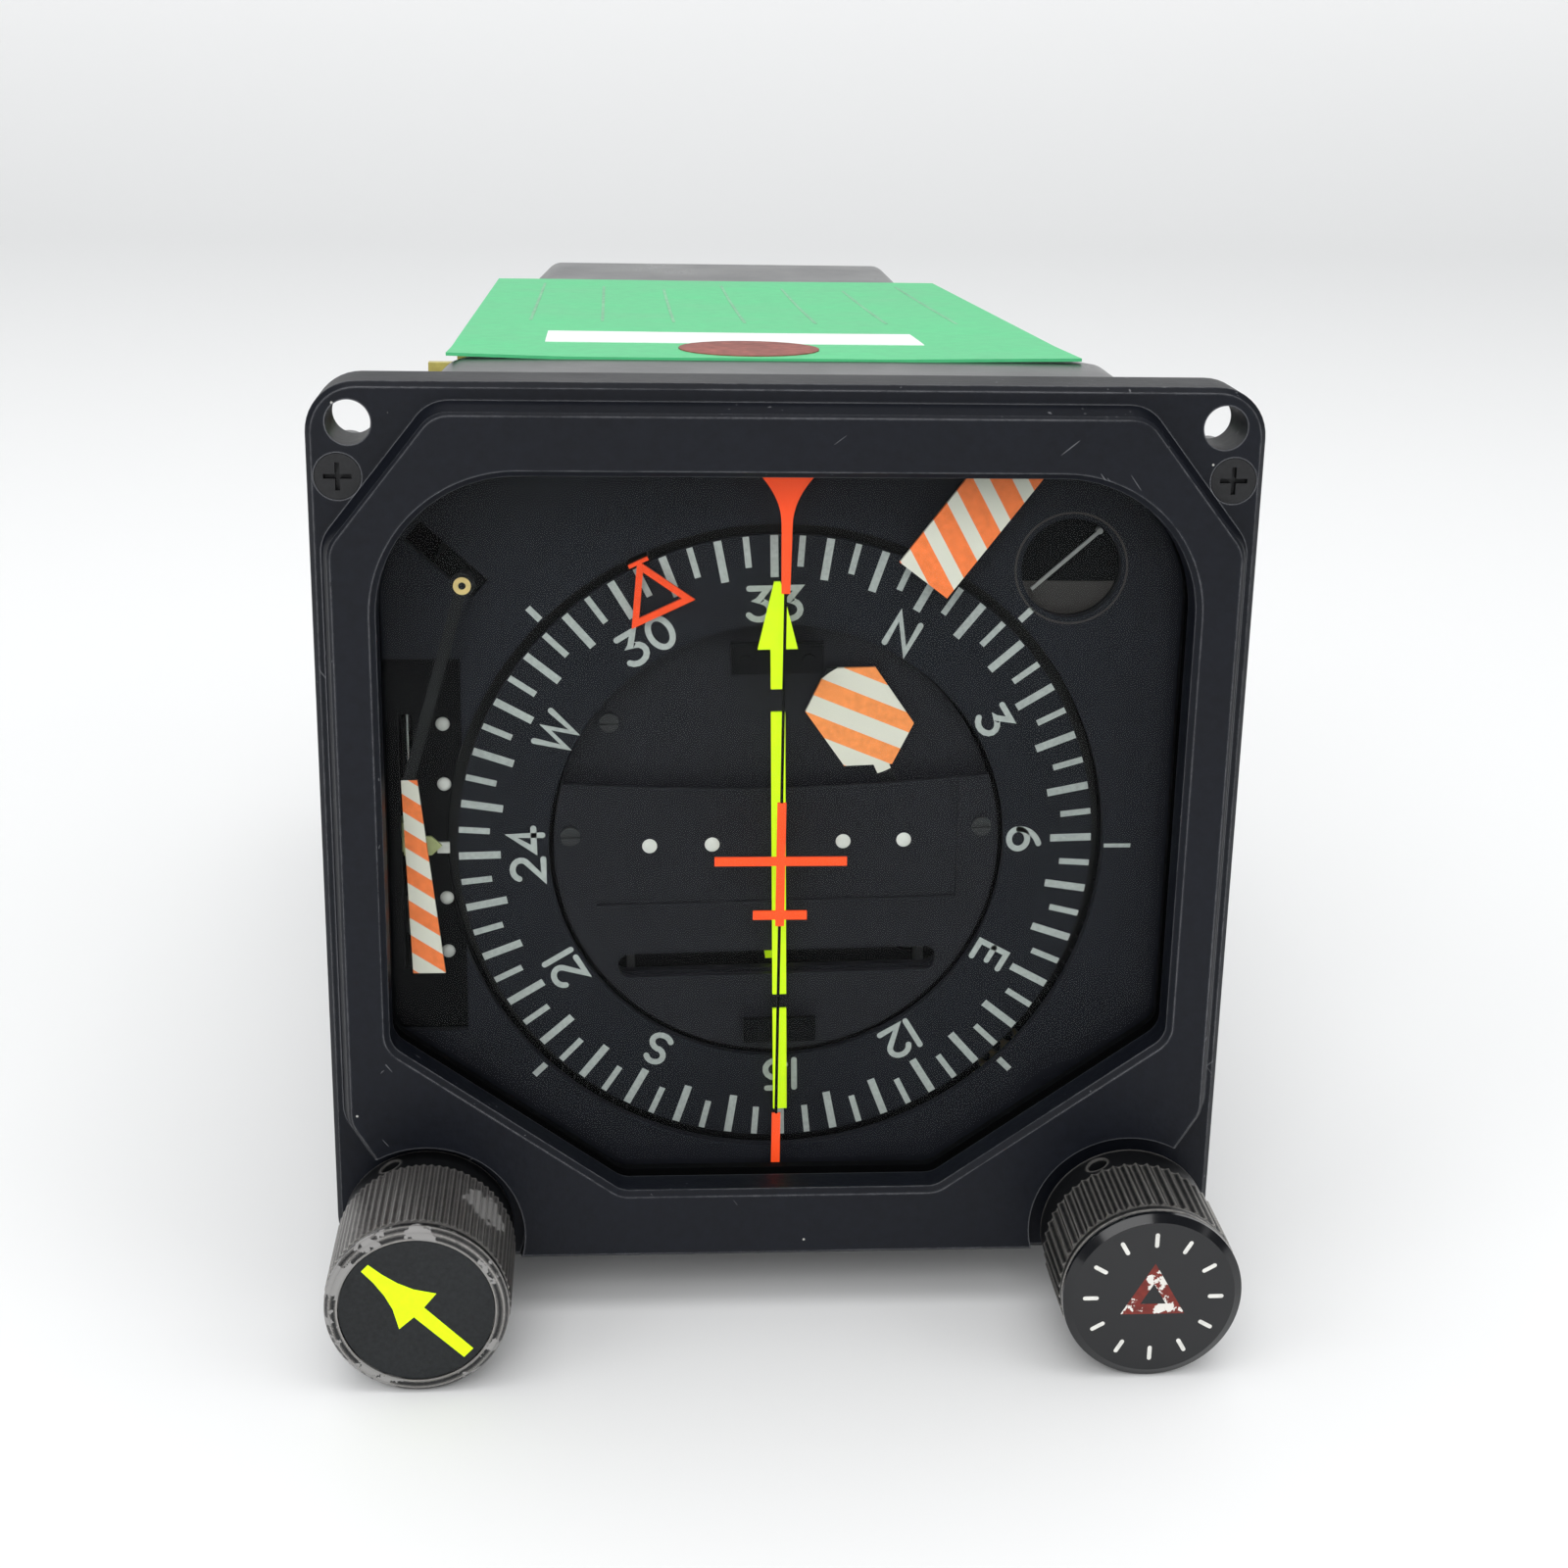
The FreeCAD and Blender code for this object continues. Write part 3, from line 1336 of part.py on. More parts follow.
def make_slaving_meter():
    """Shallow cup behind the mask's round hole, with its movement behind."""
    front = mask_setback + mask_thickness
    rear = front + slaving_cup_depth
    cup = tube(slaving_centre, slaving_cup_radius, slaving_cup_radius - 0.5, front, rear)
    floor = round_bar(slaving_centre, slaving_cup_radius, rear - 0.4, rear)
    can = round_bar(slaving_centre, 4.4, rear, rear + 6.0)
    body = fused([cup, floor, can])
    pivot = on_circle(needle_pivot_reach, needle_pivot_angle, slaving_centre)
    return body.cut(round_bar(pivot, 0.34, rear - 0.5, rear + 0.6))


def make_slaving_needle():
    """Thin needle across the indicator's hole, pivoted out of sight."""
    pivot = on_circle(needle_pivot_reach, needle_pivot_angle, slaving_centre)
    needle = block(0, needle_length, needle_y, needle_y + 0.2, -needle_half_width, needle_half_width)
    needle.rotate(vector(0, 0, 0), turn_axis, -needle_angle)
    needle.translate(vector(pivot[0], 0, pivot[1]))
    staff = round_bar(pivot, 0.3, needle_y, mask_setback + mask_thickness + slaving_cup_depth + 0.4)
    return fused([needle, staff])


# Knobs and their shafts


def fluted_bar(centre, radius, depth, count, front, rear):
    """A bar whose surface is cut by straight grooves."""
    points = []
    for index in range(2 * count):
        reach = radius if index % 2 == 0 else radius - depth
        x, z = on_circle(reach, index * 180.0 / count, centre)
        points.append(vector(x, front, z))
    return Part.Face(Part.makePolygon(points + points[:1])).extrude(vector(0, rear - front, 0))


knob_face_y = flange_front - knob_face_reach
shaft_rear = bulkhead_setback + bulkhead_thickness + 0.6
rim_length = 1.5
cap_thickness = 0.9


def make_knob(centre, gap, flutes, flute_depth, face_y, face_recess):
    """A knob with a smooth skirt, a fluted grip and a chamfered rim."""
    rear = flange_front - gap
    grip_rear = rear - skirt_length
    rim_rear = face_y + rim_length
    skirt = round_bar(centre, knob_radius - skirt_inset, grip_rear, rear)
    grip = fluted_bar(centre, knob_radius, flute_depth, flutes, rim_rear, grip_rear)
    rim_radius = knob_radius - 0.12
    rim = turned(
        centre,
        [(0, rim_rear), (rim_radius - 0.35, rim_rear), (rim_radius, rim_rear - 0.3), (rim_radius, face_y + 0.45),
         (rim_radius - 0.45, face_y), (0, face_y)],
    )
    knob = fused([skirt, grip, rim])
    if face_recess > 0:
        knob = knob.cut(round_bar(centre, knob_radius - 1.35, face_y - 1, face_y + face_recess))
    knob = knob.cut(round_bar(centre, shaft_radius, knob_face_y + 4, rear + 1))
    screw_y = rear - skirt_length / 2
    hole = Part.makeCylinder(1.0, knob_radius + 2, vector(centre[0], screw_y, centre[1]), vector(-0.45, 0, 1))
    return knob.cut(hole)


def make_set_screw(centre, gap):
    """The screw in the skirt that grips the shaft."""
    screw_y = flange_front - gap - skirt_length / 2
    start = vector(centre[0], screw_y, centre[1])
    direction = vector(-0.45, 0, 1).normalize()
    screw = Part.makeCylinder(1.0, 5.0, start + direction * shaft_radius, direction)
    socket = Part.makeCylinder(0.5, 1.6, start + direction * (shaft_radius + 3.6), direction)
    return screw.cut(socket).cut(round_bar(centre, shaft_radius, screw_y - 3, screw_y + 3))


def make_knob_face(centre):
    """The disc set in the course knob's face."""
    return round_bar(centre, knob_radius - 1.45, knob_face_y + 0.12, knob_face_y + 0.6)


def make_knob_cap(centre):
    """Glossy cap on the heading knob, with a bevelled rim."""
    radius = knob_radius - 0.1
    front = knob_face_y
    rear = front + cap_thickness
    return turned(centre, [(0, front), (radius - 0.75, front), (radius, front + 0.45), (radius, rear), (0, rear)])


def pinion_bar(centre, first_tooth, front, rear):
    """A knob pinion cut on its shaft."""
    return gear(centre, knob_pinion_teeth, fine_module, first_tooth, front, rear - front)


layshaft_tooth = line_angle(layshaft_centre, course_knob_centre)
course_pinion_tooth = mesh_tooth(
    layshaft_centre, layshaft_teeth, layshaft_tooth, course_knob_centre, knob_pinion_teeth
)
idler_tooth = mesh_tooth(dial_centre, bug_ring_teeth, bug_ring_tooth, idler_centre, idler_teeth)
heading_pinion_tooth = mesh_tooth(idler_centre, idler_teeth, idler_tooth, heading_knob_centre, knob_pinion_teeth)
pinion_margin = 0.3


def make_course_knob_shaft():
    """Shaft from the course knob through the bezel, with its pinion."""
    front = layshaft_gear_front - pinion_margin
    shaft = round_bar(course_knob_centre, shaft_radius, knob_face_y + 4, front)
    pinion = pinion_bar(course_knob_centre, course_pinion_tooth, front, front + gear_width + 2 * pinion_margin)
    return shaft.fuse(pinion)


heading_pinion_front = bug_ring_front - push_travel - pinion_margin
heading_pinion_rear = bug_ring_rear + pinion_margin
collar_front = heading_pinion_rear + 0.3
collar_thickness = 1.0


def make_heading_knob_shaft():
    """Shaft that turns the heading idler and slides when the knob is pushed."""
    shaft = round_bar(heading_knob_centre, shaft_radius, knob_face_y + 4, shaft_rear)
    pinion = pinion_bar(heading_knob_centre, heading_pinion_tooth, heading_pinion_front, heading_pinion_rear)
    clip_front = collar_front + collar_thickness + 0.3
    clip = round_bar(heading_knob_centre, shaft_radius + 0.5, clip_front, clip_front + 0.4)
    return fused([shaft, pinion, clip])


def make_push_collar():
    """Collar that rides on the sliding shaft and takes the return spring."""
    inner = shaft_radius + bearing_clearance
    return tube(heading_knob_centre, shaft_radius + 0.7, inner, collar_front, collar_front + collar_thickness)


def make_knob_bushings():
    """Flanged bushings in the bezel that carry the knob shafts."""
    bushings = []
    for centre in knob_centres:
        rear = -shoulder_seat_depth - plate_gap
        bushings.append(tube(centre, bushing_radius, shaft_radius + bearing_clearance, flange_front, rear))
    return bushings


# Gear shafts


layshaft_radius_own = 1.2
servo_shaft_radius = 1.0


def make_layshaft():
    """Shaft that carries the course setting from the front to the rear gears."""
    front = layshaft_gear_front
    rear = middle_setback + middle_thickness
    shaft = round_bar(layshaft_centre, layshaft_radius_own, bulkhead_setback, rear)
    wheel = gear(layshaft_centre, layshaft_teeth, fine_module, layshaft_tooth, front, gear_width)
    rear_wheel = gear(
        layshaft_centre, layshaft_rear_teeth, coarse_module, layshaft_rear_tooth, course_gear_front, gear_width
    )
    return fused([shaft, wheel, rear_wheel])


idler_pin_radius = 1.0


def make_heading_idler():
    """Gear between the heading knob and the bug ring."""
    wheel = gear(idler_centre, idler_teeth, fine_module, idler_tooth, bug_ring_front, gear_width)
    hub = round_bar(idler_centre, 2.2, bug_ring_front, bug_ring_rear + 1.2)
    return wheel.fuse(hub).cut(
        round_bar(idler_centre, idler_pin_radius + bearing_clearance, bug_ring_front - 1, bug_ring_rear + 3)
    )


def make_idler_pin():
    """Pin in the front bulkhead on which the idler turns."""
    front = bug_ring_front - 0.6
    pin = round_bar(idler_centre, idler_pin_radius, front, bulkhead_setback)
    head = round_bar(idler_centre, idler_pin_radius + 0.7, front - 0.3, front)
    seat = round_bar(idler_centre, idler_pin_radius + 1.0, bug_ring_rear + 1.5, bulkhead_setback)
    return fused([pin, head, seat])


servo_pinion_tooth = mesh_tooth(dial_centre, card_gear_teeth, card_gear_tooth, servo_centre, servo_pinion_teeth)
servo_front = middle_setback + middle_thickness


def make_servo_pinion():
    """The servo's pinion and shaft."""
    wheel = gear(servo_centre, servo_pinion_teeth, servo_module, servo_pinion_tooth, card_gear_front - 0.3, gear_width + 0.6)
    shaft = round_bar(servo_centre, servo_shaft_radius, card_gear_front - 0.3, servo_front + 3.0)
    return fused([wheel, shaft])


def make_servo_motor():
    """Servo motor that turns the card, fixed to the middle bulkhead."""
    rear = servo_front + servo_length
    body = turned(
        servo_centre,
        [(0, servo_front), (servo_radius, servo_front), (servo_radius, rear - 1), (servo_radius - 1, rear), (0, rear)],
    )
    return body.cut(round_bar(servo_centre, servo_shaft_radius + bearing_clearance, servo_front - 1, servo_front + 3.4))


# Bulkheads and the rear


rod_radius = 1.6


def rod_centres():
    """Places of the four chassis rods."""
    low = top_edge - case_bottom_drop + 4.6
    high = top_edge - case_top_drop - 5.0
    return mirrored_points(case_half_width / 3, high) + mirrored_points(case_half_width / 3, low)


def make_front_bulkhead():
    """Chromated plate that carries the main bearing, gear pins and knob shafts."""
    front = bulkhead_setback
    rear = front + bulkhead_thickness
    plate = body_plate(front, shoulder_wall + 2 * plate_gap, bulkhead_thickness)
    plate = plate.cut(round_bar(dial_centre, hub_radius + 2.4, front - 1, rear + 1))
    for centre in knob_centres:
        plate = plate.fuse(round_bar(centre, pinion_pocket_radius - plate_gap, front, rear))
        plate = plate.cut(round_bar(centre, shaft_radius + bearing_clearance, front - 1, rear + 1))
    plate = plate.cut(round_bar(layshaft_centre, layshaft_radius_own + bearing_clearance, front - 1, rear + 1))
    return plate.fuse(make_idler_pin()).removeSplitter()


def make_main_bearing():
    """Bearing ring in the front bulkhead for the card's hub."""
    front = bulkhead_setback - 0.4
    rear = bulkhead_setback + bulkhead_thickness + 1.6
    inner = hub_radius + bearing_clearance
    ring = tube(dial_centre, hub_radius + 2.4, inner, front, rear)
    lip = tube(dial_centre, hub_radius + 3.4, inner, bulkhead_setback + bulkhead_thickness, rear)
    return ring.fuse(lip)


def make_middle_bulkhead():
    """Chromated plate behind the gears, with the resolver and servo fixed to it."""
    front = middle_setback
    rear = front + middle_thickness
    plate = body_plate(front, shoulder_wall + plate_gap + 0.4, middle_thickness)
    plate = plate.cut(round_bar(dial_centre, course_shaft_radius + bearing_clearance, front - 1, rear + 1))
    plate = plate.cut(round_bar(servo_centre, servo_shaft_radius + bearing_clearance, front - 1, rear + 1))
    plate = plate.cut(round_bar(layshaft_centre, layshaft_radius_own + bearing_clearance, front - 1, rear + 1))
    for centre in rod_centres():
        plate = plate.cut(round_bar(centre, rod_radius, front - 1, rear + 1))
    return plate


def make_chassis_rods():
    """Four rods that tie the bulkheads to the rear plate."""
    front = bulkhead_setback + bulkhead_thickness
    rear = case_rear - rear_plate_thickness
    return [round_bar(centre, rod_radius, front, rear) for centre in rod_centres()]


def make_course_resolver():
    """Resolver behind the middle bulkhead, turned by the course shaft."""
    front = middle_setback + middle_thickness
    rear = front + resolver_length
    body = turned(
        dial_centre,
        [(0, front), (resolver_radius + 1.5, front), (resolver_radius + 1.5, front + 1.5), (resolver_radius, front + 1.5),
         (resolver_radius, rear - 2), (resolver_radius - 2, rear), (0, rear)],
    )
    return body.cut(round_bar(dial_centre, course_shaft_radius + bearing_clearance, front - 1, front + 9))


board_front_gap = 6.0
board_rear_gap = 12.0
board_side_gap = 4.5
board_part_width = 8.0
board_part_length = 12.0
board_part_height = 3.2
board_front = middle_setback + middle_thickness + resolver_length + board_front_gap
board_rear = case_rear - rear_plate_thickness - board_rear_gap
board_half_width = case_half_width - cover_wall - board_side_gap


def make_boards():
    """Circuit boards between the rods, each with a few raised parts."""
    boards = []
    half = board_half_width
    lowest = dial_z - board_pitch * (board_count - 1) / 2
    for index in range(board_count):
        z = lowest + index * board_pitch
        board = block(-half, half, board_front, board_rear, z, z + board_thickness)
        pieces = [board]
        for row in range(3):
            y = board_front + 8 + row * (board_rear - board_front - 20) / 3
            for column in (-1, 0, 1):
                x = column * half * 0.6
                part_top = z + board_thickness + board_part_height
                low = z + board_thickness
                wide = board_part_width / 2
                pieces.append(block(x - wide, x + wide, y, y + board_part_length, low, part_top))
        boards.append(fused(pieces))
    return boards


def make_board_posts():
    """Six-sided corner posts that hold the boards apart."""
    posts = []
    half = board_half_width
    lowest = dial_z - board_pitch * (board_count - 1) / 2
    radius = 2.0
    for index in range(board_count - 1):
        start = lowest + index * board_pitch + board_thickness
        for x in (-half + 3, half - 3):
            for y in (board_front + 3, board_rear - 3):
                points = []
                for corner in range(7):
                    turn = math.radians(60 * corner)
                    points.append(vector(x + radius * math.cos(turn), y + radius * math.sin(turn), start))
                face = Part.Face(Part.makePolygon(points))
                posts.append(face.extrude(vector(0, 0, board_pitch - board_thickness)))
    return posts


def make_board_frame():
    """Two upright cheeks that tie the boards to the rear plate."""
    cheeks = []
    half = board_half_width
    low = dial_z - board_pitch * (board_count - 1) / 2 - 4
    high = dial_z + board_pitch * (board_count - 1) / 2 + 6
    for x in (-half - 1.2, half):
        cheeks.append(block(x, x + 1.2, board_front, case_rear - rear_plate_thickness, low, high))
    return cheeks


def make_case_cover():
    """Black cover wrapped round the instrument."""
    corners = body_corners(shoulder_length)
    front = shoulder_length
    rear = case_rear - rear_plate_thickness
    outer = slab(corners, rounding(corners, case_corner_radius), front, rear)
    inner_corners = inset(corners, cover_wall)
    inner = slab(inner_corners, rounding(inner_corners, case_corner_radius - cover_wall / 2), front - 1, rear + 1)
    return outer.cut(inner)


connector_z = (dial_z + 15.0, dial_z - 15.0)
connector_radius = 11.0


def make_rear_plate():
    """Plate that closes the rear, with a lip inside the cover and two connector holes."""
    corners = body_corners(shoulder_length)
    front = case_rear - rear_plate_thickness
    plate = slab(corners, rounding(corners, case_corner_radius), front, case_rear)
    lip_corners = inset(corners, cover_wall + plate_gap)
    core_corners = inset(corners, cover_wall + plate_gap + 1.0)
    lip = slab(lip_corners, rounding(lip_corners, 1.5), front - 4, front)
    core = slab(core_corners, rounding(core_corners, 1.0), front - 5, front)
    plate = plate.fuse(lip.cut(core))
    for z in connector_z:
        plate = plate.cut(round_bar((0, z), connector_radius - 1.5, front - 1, case_rear + 1))
    return plate


pin_radius = 0.6
pin_length = 4.0
insert_depth = 3.5


def contact_pins(z):
    """Six-sided contact pins standing in a receptacle."""
    pins = []
    front = case_rear + insert_depth
    for ring_radius, count in ((3.0, 5), (6.6, 10)):
        for index in range(count):
            centre = on_circle(ring_radius, index * 360.0 / count, (0, z))
            corners = [on_circle(pin_radius, 60 * corner, centre) for corner in range(6)]
            points = [vector(x, front, up) for x, up in corners]
            pins.append(Part.Face(Part.makePolygon(points + points[:1])).extrude(vector(0, pin_length, 0)))
    return pins


def make_connectors():
    """Round multi-pin receptacles on the rear plate."""
    receptacles = []
    for z in connector_z:
        centre = (0, z)
        flange = slab(
            box_outline(connector_radius + 2.0, z + connector_radius + 2.0, z - connector_radius - 2.0),
            [2.0] * 4, case_rear, case_rear + 1.6,
        )
        shell = tube(centre, connector_radius, connector_radius - 1.2, case_rear, case_rear + 9.0)
        ridge = tube(centre, connector_radius + 0.5, connector_radius - 0.5, case_rear + 5.5, case_rear + 6.5)
        insert = round_bar(centre, connector_radius - 1.6, case_rear - rear_plate_thickness, case_rear + insert_depth)
        floor = round_bar(centre, connector_radius - 0.6, case_rear, case_rear + 1.6)
        receptacles.append(fused([flange, shell, ridge, floor, insert] + contact_pins(z)))
    return receptacles


case_screw_radius = 2.0
case_screw_head = 1.1
case_screw_slit = 0.8
case_screw_spacing = 36.0
rear_screw_spacing = 56.0
rear_screw_inset = 6.0
rear_screw_head = 1.2


def make_case_screws():
    """Pan-head screws in the cover's sides and the rear plate."""
    screws = []
    side_y = shoulder_length + spigot_length / 2
    half_slit = case_screw_slit / 2
    slit_length = 0.75 * case_screw_radius
    tip = case_half_width + case_screw_head
    for side in (-1, 1):
        for z in (dial_z + case_screw_spacing / 2, dial_z - case_screw_spacing / 2):
            start = vector(side * case_half_width, side_y, z)
            head = Part.makeCylinder(case_screw_radius, case_screw_head, start, vector(side, 0, 0))
            slit = block(
                side * tip - half_slit, side * tip + half_slit,
                side_y - case_screw_radius / 8, side_y + case_screw_radius / 8, z - slit_length, z + slit_length,
            )
            screws.append(head.cut(slit))
    corners = [(-1, 1), (1, 1), (1, -1), (-1, -1)]
    for across, up in corners:
        centre = (across * (case_half_width - rear_screw_inset), dial_z + up * rear_screw_spacing / 2)
        head = round_bar(centre, case_screw_radius, case_rear, case_rear + rear_screw_head)
        screws.append(head)
    return screws


lug_thickness = 1.2
lug_setback = 24.6
lug_side_inset = 7.1
lug_drop = 2.7
lug_height = 9.0
lug_step = 1.1
lug_step_width = 1.2
lug_low_width = 2.9


def make_chassis_lug():
    """Yellow-chromated bracket standing on the shoulder's upper left corner."""
    left = lug_side_inset - shoulder_half_width
    right = left + lug_low_width + lug_step_width
    high = top_edge - lug_drop
    low = high - lug_height
    corners = [
        (left, high),
        (left + lug_low_width, high),
        (left + lug_low_width, high + lug_step),
        (right, high + lug_step),
        (right, low),
        (left, low),
    ]
    points = [vector(x, lug_setback, z) for x, z in corners]
    plate = Part.Face(Part.makePolygon(points + points[:1])).extrude(vector(0, lug_thickness, 0))
    return plate.cut(shoulder_solid(0))


# Tag on the case

tag_far = tag_near + tag_length
tag_near_z = top_edge - shoulder_top_inset
tag_far_z = top_edge - case_top_drop


def on_tag(width_left, width_right, start, end, lift, thickness):
    """A thin sheet lying in the tag's sloping plane."""
    slope = math.atan2(tag_far_z - tag_near_z, tag_length)
    sheet = block(width_left, width_right, start, end, lift, lift + thickness)
    sheet.rotate(vector(0, 0, 0), vector(1, 0, 0), math.degrees(slope))
    sheet.translate(vector(tag_centre_x, tag_near, tag_near_z))
    return sheet


patch_radius = 7.0
patch_thickness = 0.25


def make_service_tag():
    """Card tag that lies on the shoulder's crest and the case."""
    half = tag_width / 2
    tag = on_tag(-half, half, 0, tag_length, 0.02, tag_thickness)
    return tag


def make_tag_patch():
    """Round reinforcement patch at the tag's near end."""
    slope = math.atan2(tag_far_z - tag_near_z, tag_length)
    lift = 0.02 + tag_thickness
    patch = Part.makeCylinder(patch_radius, patch_thickness, vector(0, patch_radius + 1.4, lift), vector(0, 0, 1))
    hole = Part.makeCylinder(2.4, 2, vector(0, patch_radius + 1.4, lift - 1), vector(0, 0, 1))
    patch = patch.cut(hole)
    patch.rotate(vector(0, 0, 0), vector(1, 0, 0), math.degrees(slope))
    patch.translate(vector(tag_centre_x, tag_near, tag_near_z))
    return patch


strip_start = 17.0
strip_length = 12.5
strip_left_margin = 9.5
strip_right_margin = 13.5


def make_tag_strip():
    """Blank white strip stuck across the tag."""
    left = strip_left_margin - tag_width / 2
    right = tag_width / 2 - strip_right_margin
    return on_tag(left, right, strip_start, strip_start + strip_length, 0.02 + tag_thickness, 0.12)


def export(name, shapes):
    """Write one sub-part, made of one solid or of several."""
    solids = shapes if isinstance(shapes, list) else [shapes]
    whole = Part.makeCompound([solid for shape in solids for solid in shape.Solids])
    if len(whole.Solids) == 1:
        whole = whole.Solids[0]
    whole.exportStep(os.path.join("parts", name + ".step"))


def nodes():
    """Every sub-part by name."""
    course_face = knob_face_y
    heading_face = knob_face_y + cap_thickness
    return {
        "bezel": make_bezel(),
        "bezel_screws": make_bezel_screws(),
        "window_seal": make_window_seal(),
        "window_glass": make_glass(),
        "glass_retainer": make_retainer(),
        "lubber_strip": make_lubber_strip(),
        "shoulder_frame": make_shoulder_frame(),
        "dial_mask": make_dial_mask(),
        "mask_posts": make_mask_posts(),
        "glideslope_scale": make_glideslope_scale(),
        "glideslope_guide": make_glideslope_guide(),
        "glideslope_pointer": make_glideslope_pointer(),
        "compass_card": make_compass_card(),
        "card_drum": make_card_drum(),
        "card_gear": make_card_gear(),
        "bug_ring": make_bug_ring(),
        "heading_bug": make_heading_bug(),
        "course_plate": make_course_plate(),
        "course_disc": make_course_disc(),
        "course_screws": make_course_screws(),
        "course_pointer": [make_course_arrow(), make_course_tail()],
        "arrow_clamps": make_arrow_clamps(),
        "course_shaft": make_course_shaft(),
        "course_gear": make_course_gear(),
        "deviation_guide": make_deviation_guide(),
        "deviation_bar": make_deviation_bar(),
        "nav_flag": make_nav_flag(),
        "nav_flag_meter": make_nav_flag_meter(),
        "hdg_flag": make_hdg_flag(),
        "gs_flag": make_gs_flag(),
        "flag_meters": make_flag_meters(),
        "slaving_meter": make_slaving_meter(),
        "slaving_needle": make_slaving_needle(),
        "course_knob": make_knob(
            course_knob_centre, course_knob_gap, course_flutes, course_flute_depth, course_face, 0.6
        ),
        "course_knob_face": make_knob_face(course_knob_centre),
        "course_knob_shaft": make_course_knob_shaft(),
        "course_set_screw": make_set_screw(course_knob_centre, course_knob_gap),
        "heading_knob": make_knob(
            heading_knob_centre, heading_knob_gap, heading_flutes, heading_flute_depth, heading_face, 0
        ),
        "heading_knob_cap": make_knob_cap(heading_knob_centre),
        "heading_knob_shaft": make_heading_knob_shaft(),
        "heading_set_screw": make_set_screw(heading_knob_centre, heading_knob_gap),
        "push_collar": make_push_collar(),
        "knob_bushings": make_knob_bushings(),
        "course_layshaft": make_layshaft(),
        "heading_idler": make_heading_idler(),
        "servo_pinion": make_servo_pinion(),
        "servo_motor": make_servo_motor(),
        "front_bulkhead": make_front_bulkhead(),
        "main_bearing": make_main_bearing(),
        "middle_bulkhead": make_middle_bulkhead(),
        "chassis_rods": make_chassis_rods(),
        "course_resolver": make_course_resolver(),
        "circuit_boards": make_boards(),
        "board_frame": make_board_posts() + make_board_frame(),
        "case_cover": make_case_cover(),
        "rear_plate": make_rear_plate(),
        "rear_connectors": make_connectors(),
        "case_screws": make_case_screws(),
        "chassis_lug": make_chassis_lug(),
        "service_tag": [make_service_tag(), make_tag_patch(), make_tag_strip()],
    }


def main():
    """Build and write every sub-part."""
    os.makedirs("parts", exist_ok=True)
    for name, shapes in nodes().items():
        export(name, shapes)


main()
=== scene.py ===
import logging
import math
from dataclasses import dataclass, field
from enum import Enum

import bpy
from mathutils import Matrix, Vector


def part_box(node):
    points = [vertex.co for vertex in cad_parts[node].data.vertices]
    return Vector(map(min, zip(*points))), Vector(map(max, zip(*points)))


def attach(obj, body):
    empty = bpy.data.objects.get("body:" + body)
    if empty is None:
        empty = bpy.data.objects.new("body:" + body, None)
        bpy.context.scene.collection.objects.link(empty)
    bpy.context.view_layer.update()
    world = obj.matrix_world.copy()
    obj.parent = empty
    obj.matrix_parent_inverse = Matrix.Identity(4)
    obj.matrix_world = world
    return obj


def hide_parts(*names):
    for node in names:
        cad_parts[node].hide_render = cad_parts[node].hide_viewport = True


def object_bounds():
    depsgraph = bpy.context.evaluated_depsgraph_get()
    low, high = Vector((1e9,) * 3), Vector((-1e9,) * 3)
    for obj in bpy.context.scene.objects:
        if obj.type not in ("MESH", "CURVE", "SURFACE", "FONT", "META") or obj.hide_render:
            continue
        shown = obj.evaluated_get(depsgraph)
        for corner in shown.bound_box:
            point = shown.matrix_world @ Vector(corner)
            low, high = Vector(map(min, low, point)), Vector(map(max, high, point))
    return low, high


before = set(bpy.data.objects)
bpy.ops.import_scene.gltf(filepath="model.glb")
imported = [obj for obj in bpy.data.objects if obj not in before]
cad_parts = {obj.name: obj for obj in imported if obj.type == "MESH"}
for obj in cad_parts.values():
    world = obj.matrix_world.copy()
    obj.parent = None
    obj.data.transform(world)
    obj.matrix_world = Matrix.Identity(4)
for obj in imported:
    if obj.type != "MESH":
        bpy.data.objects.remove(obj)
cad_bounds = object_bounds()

logging.basicConfig(level=logging.INFO, format="%(message)s")
log = logging.getLogger("display")

Point = tuple[float, float]
Place = tuple[float, float, float]
Colour = tuple[float, float, float]
Tree = bpy.types.NodeTree
Socket = bpy.types.NodeSocket
Feed = bpy.types.NodeSocket | float
# A group's input and output nodes.
Ends = dict[str, bpy.types.Node]
# A character's width and its strokes, each with True where it is closed.
Glyph = tuple[float, list[tuple[list[Point], bool]]]

# Millimetre in metres, and back.
MM = 0.001
PER_METRE = 1000.0
# The flange's top edge and the dial's centre, in millimetres of Z.
TOP_EDGE = 3.6
DIAL_Z = TOP_EDGE - 46.4
# Print reaches a little into its face, so that no gap shows behind it.
PRINT_SINK = 0.01
PRINT_THICKNESS = 0.02
# Where a line turns more sharply than this cosine, its corner is cut short.
SHARPEST_CORNER = 0.45
TINY = 1e-9


def top(node: str) -> float:
    """Highest point of a CAD node, in millimetres."""
    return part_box(node)[1][2] / MM


def front(node: str) -> float:
    """Front face of a CAD node along Y, in millimetres."""
    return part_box(node)[0][1] / MM


def middle(node: str) -> Point:
    """Centre of a CAD node in X and Z, in millimetres."""
    low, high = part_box(node)
    return ((low[0] + high[0]) / 2 / MM, (low[2] + high[2]) / 2 / MM)


def printed(node: str, thickness: float = PRINT_THICKNESS) -> tuple[float, float]:
    """Front and rear depth of print on the front face of a CAD node."""
    rear = front(node) + PRINT_SINK
    return rear - thickness, rear


def below(drop: float) -> float:
    """The Z of a place that lies so far below the flange's top edge."""
    return TOP_EDGE - drop


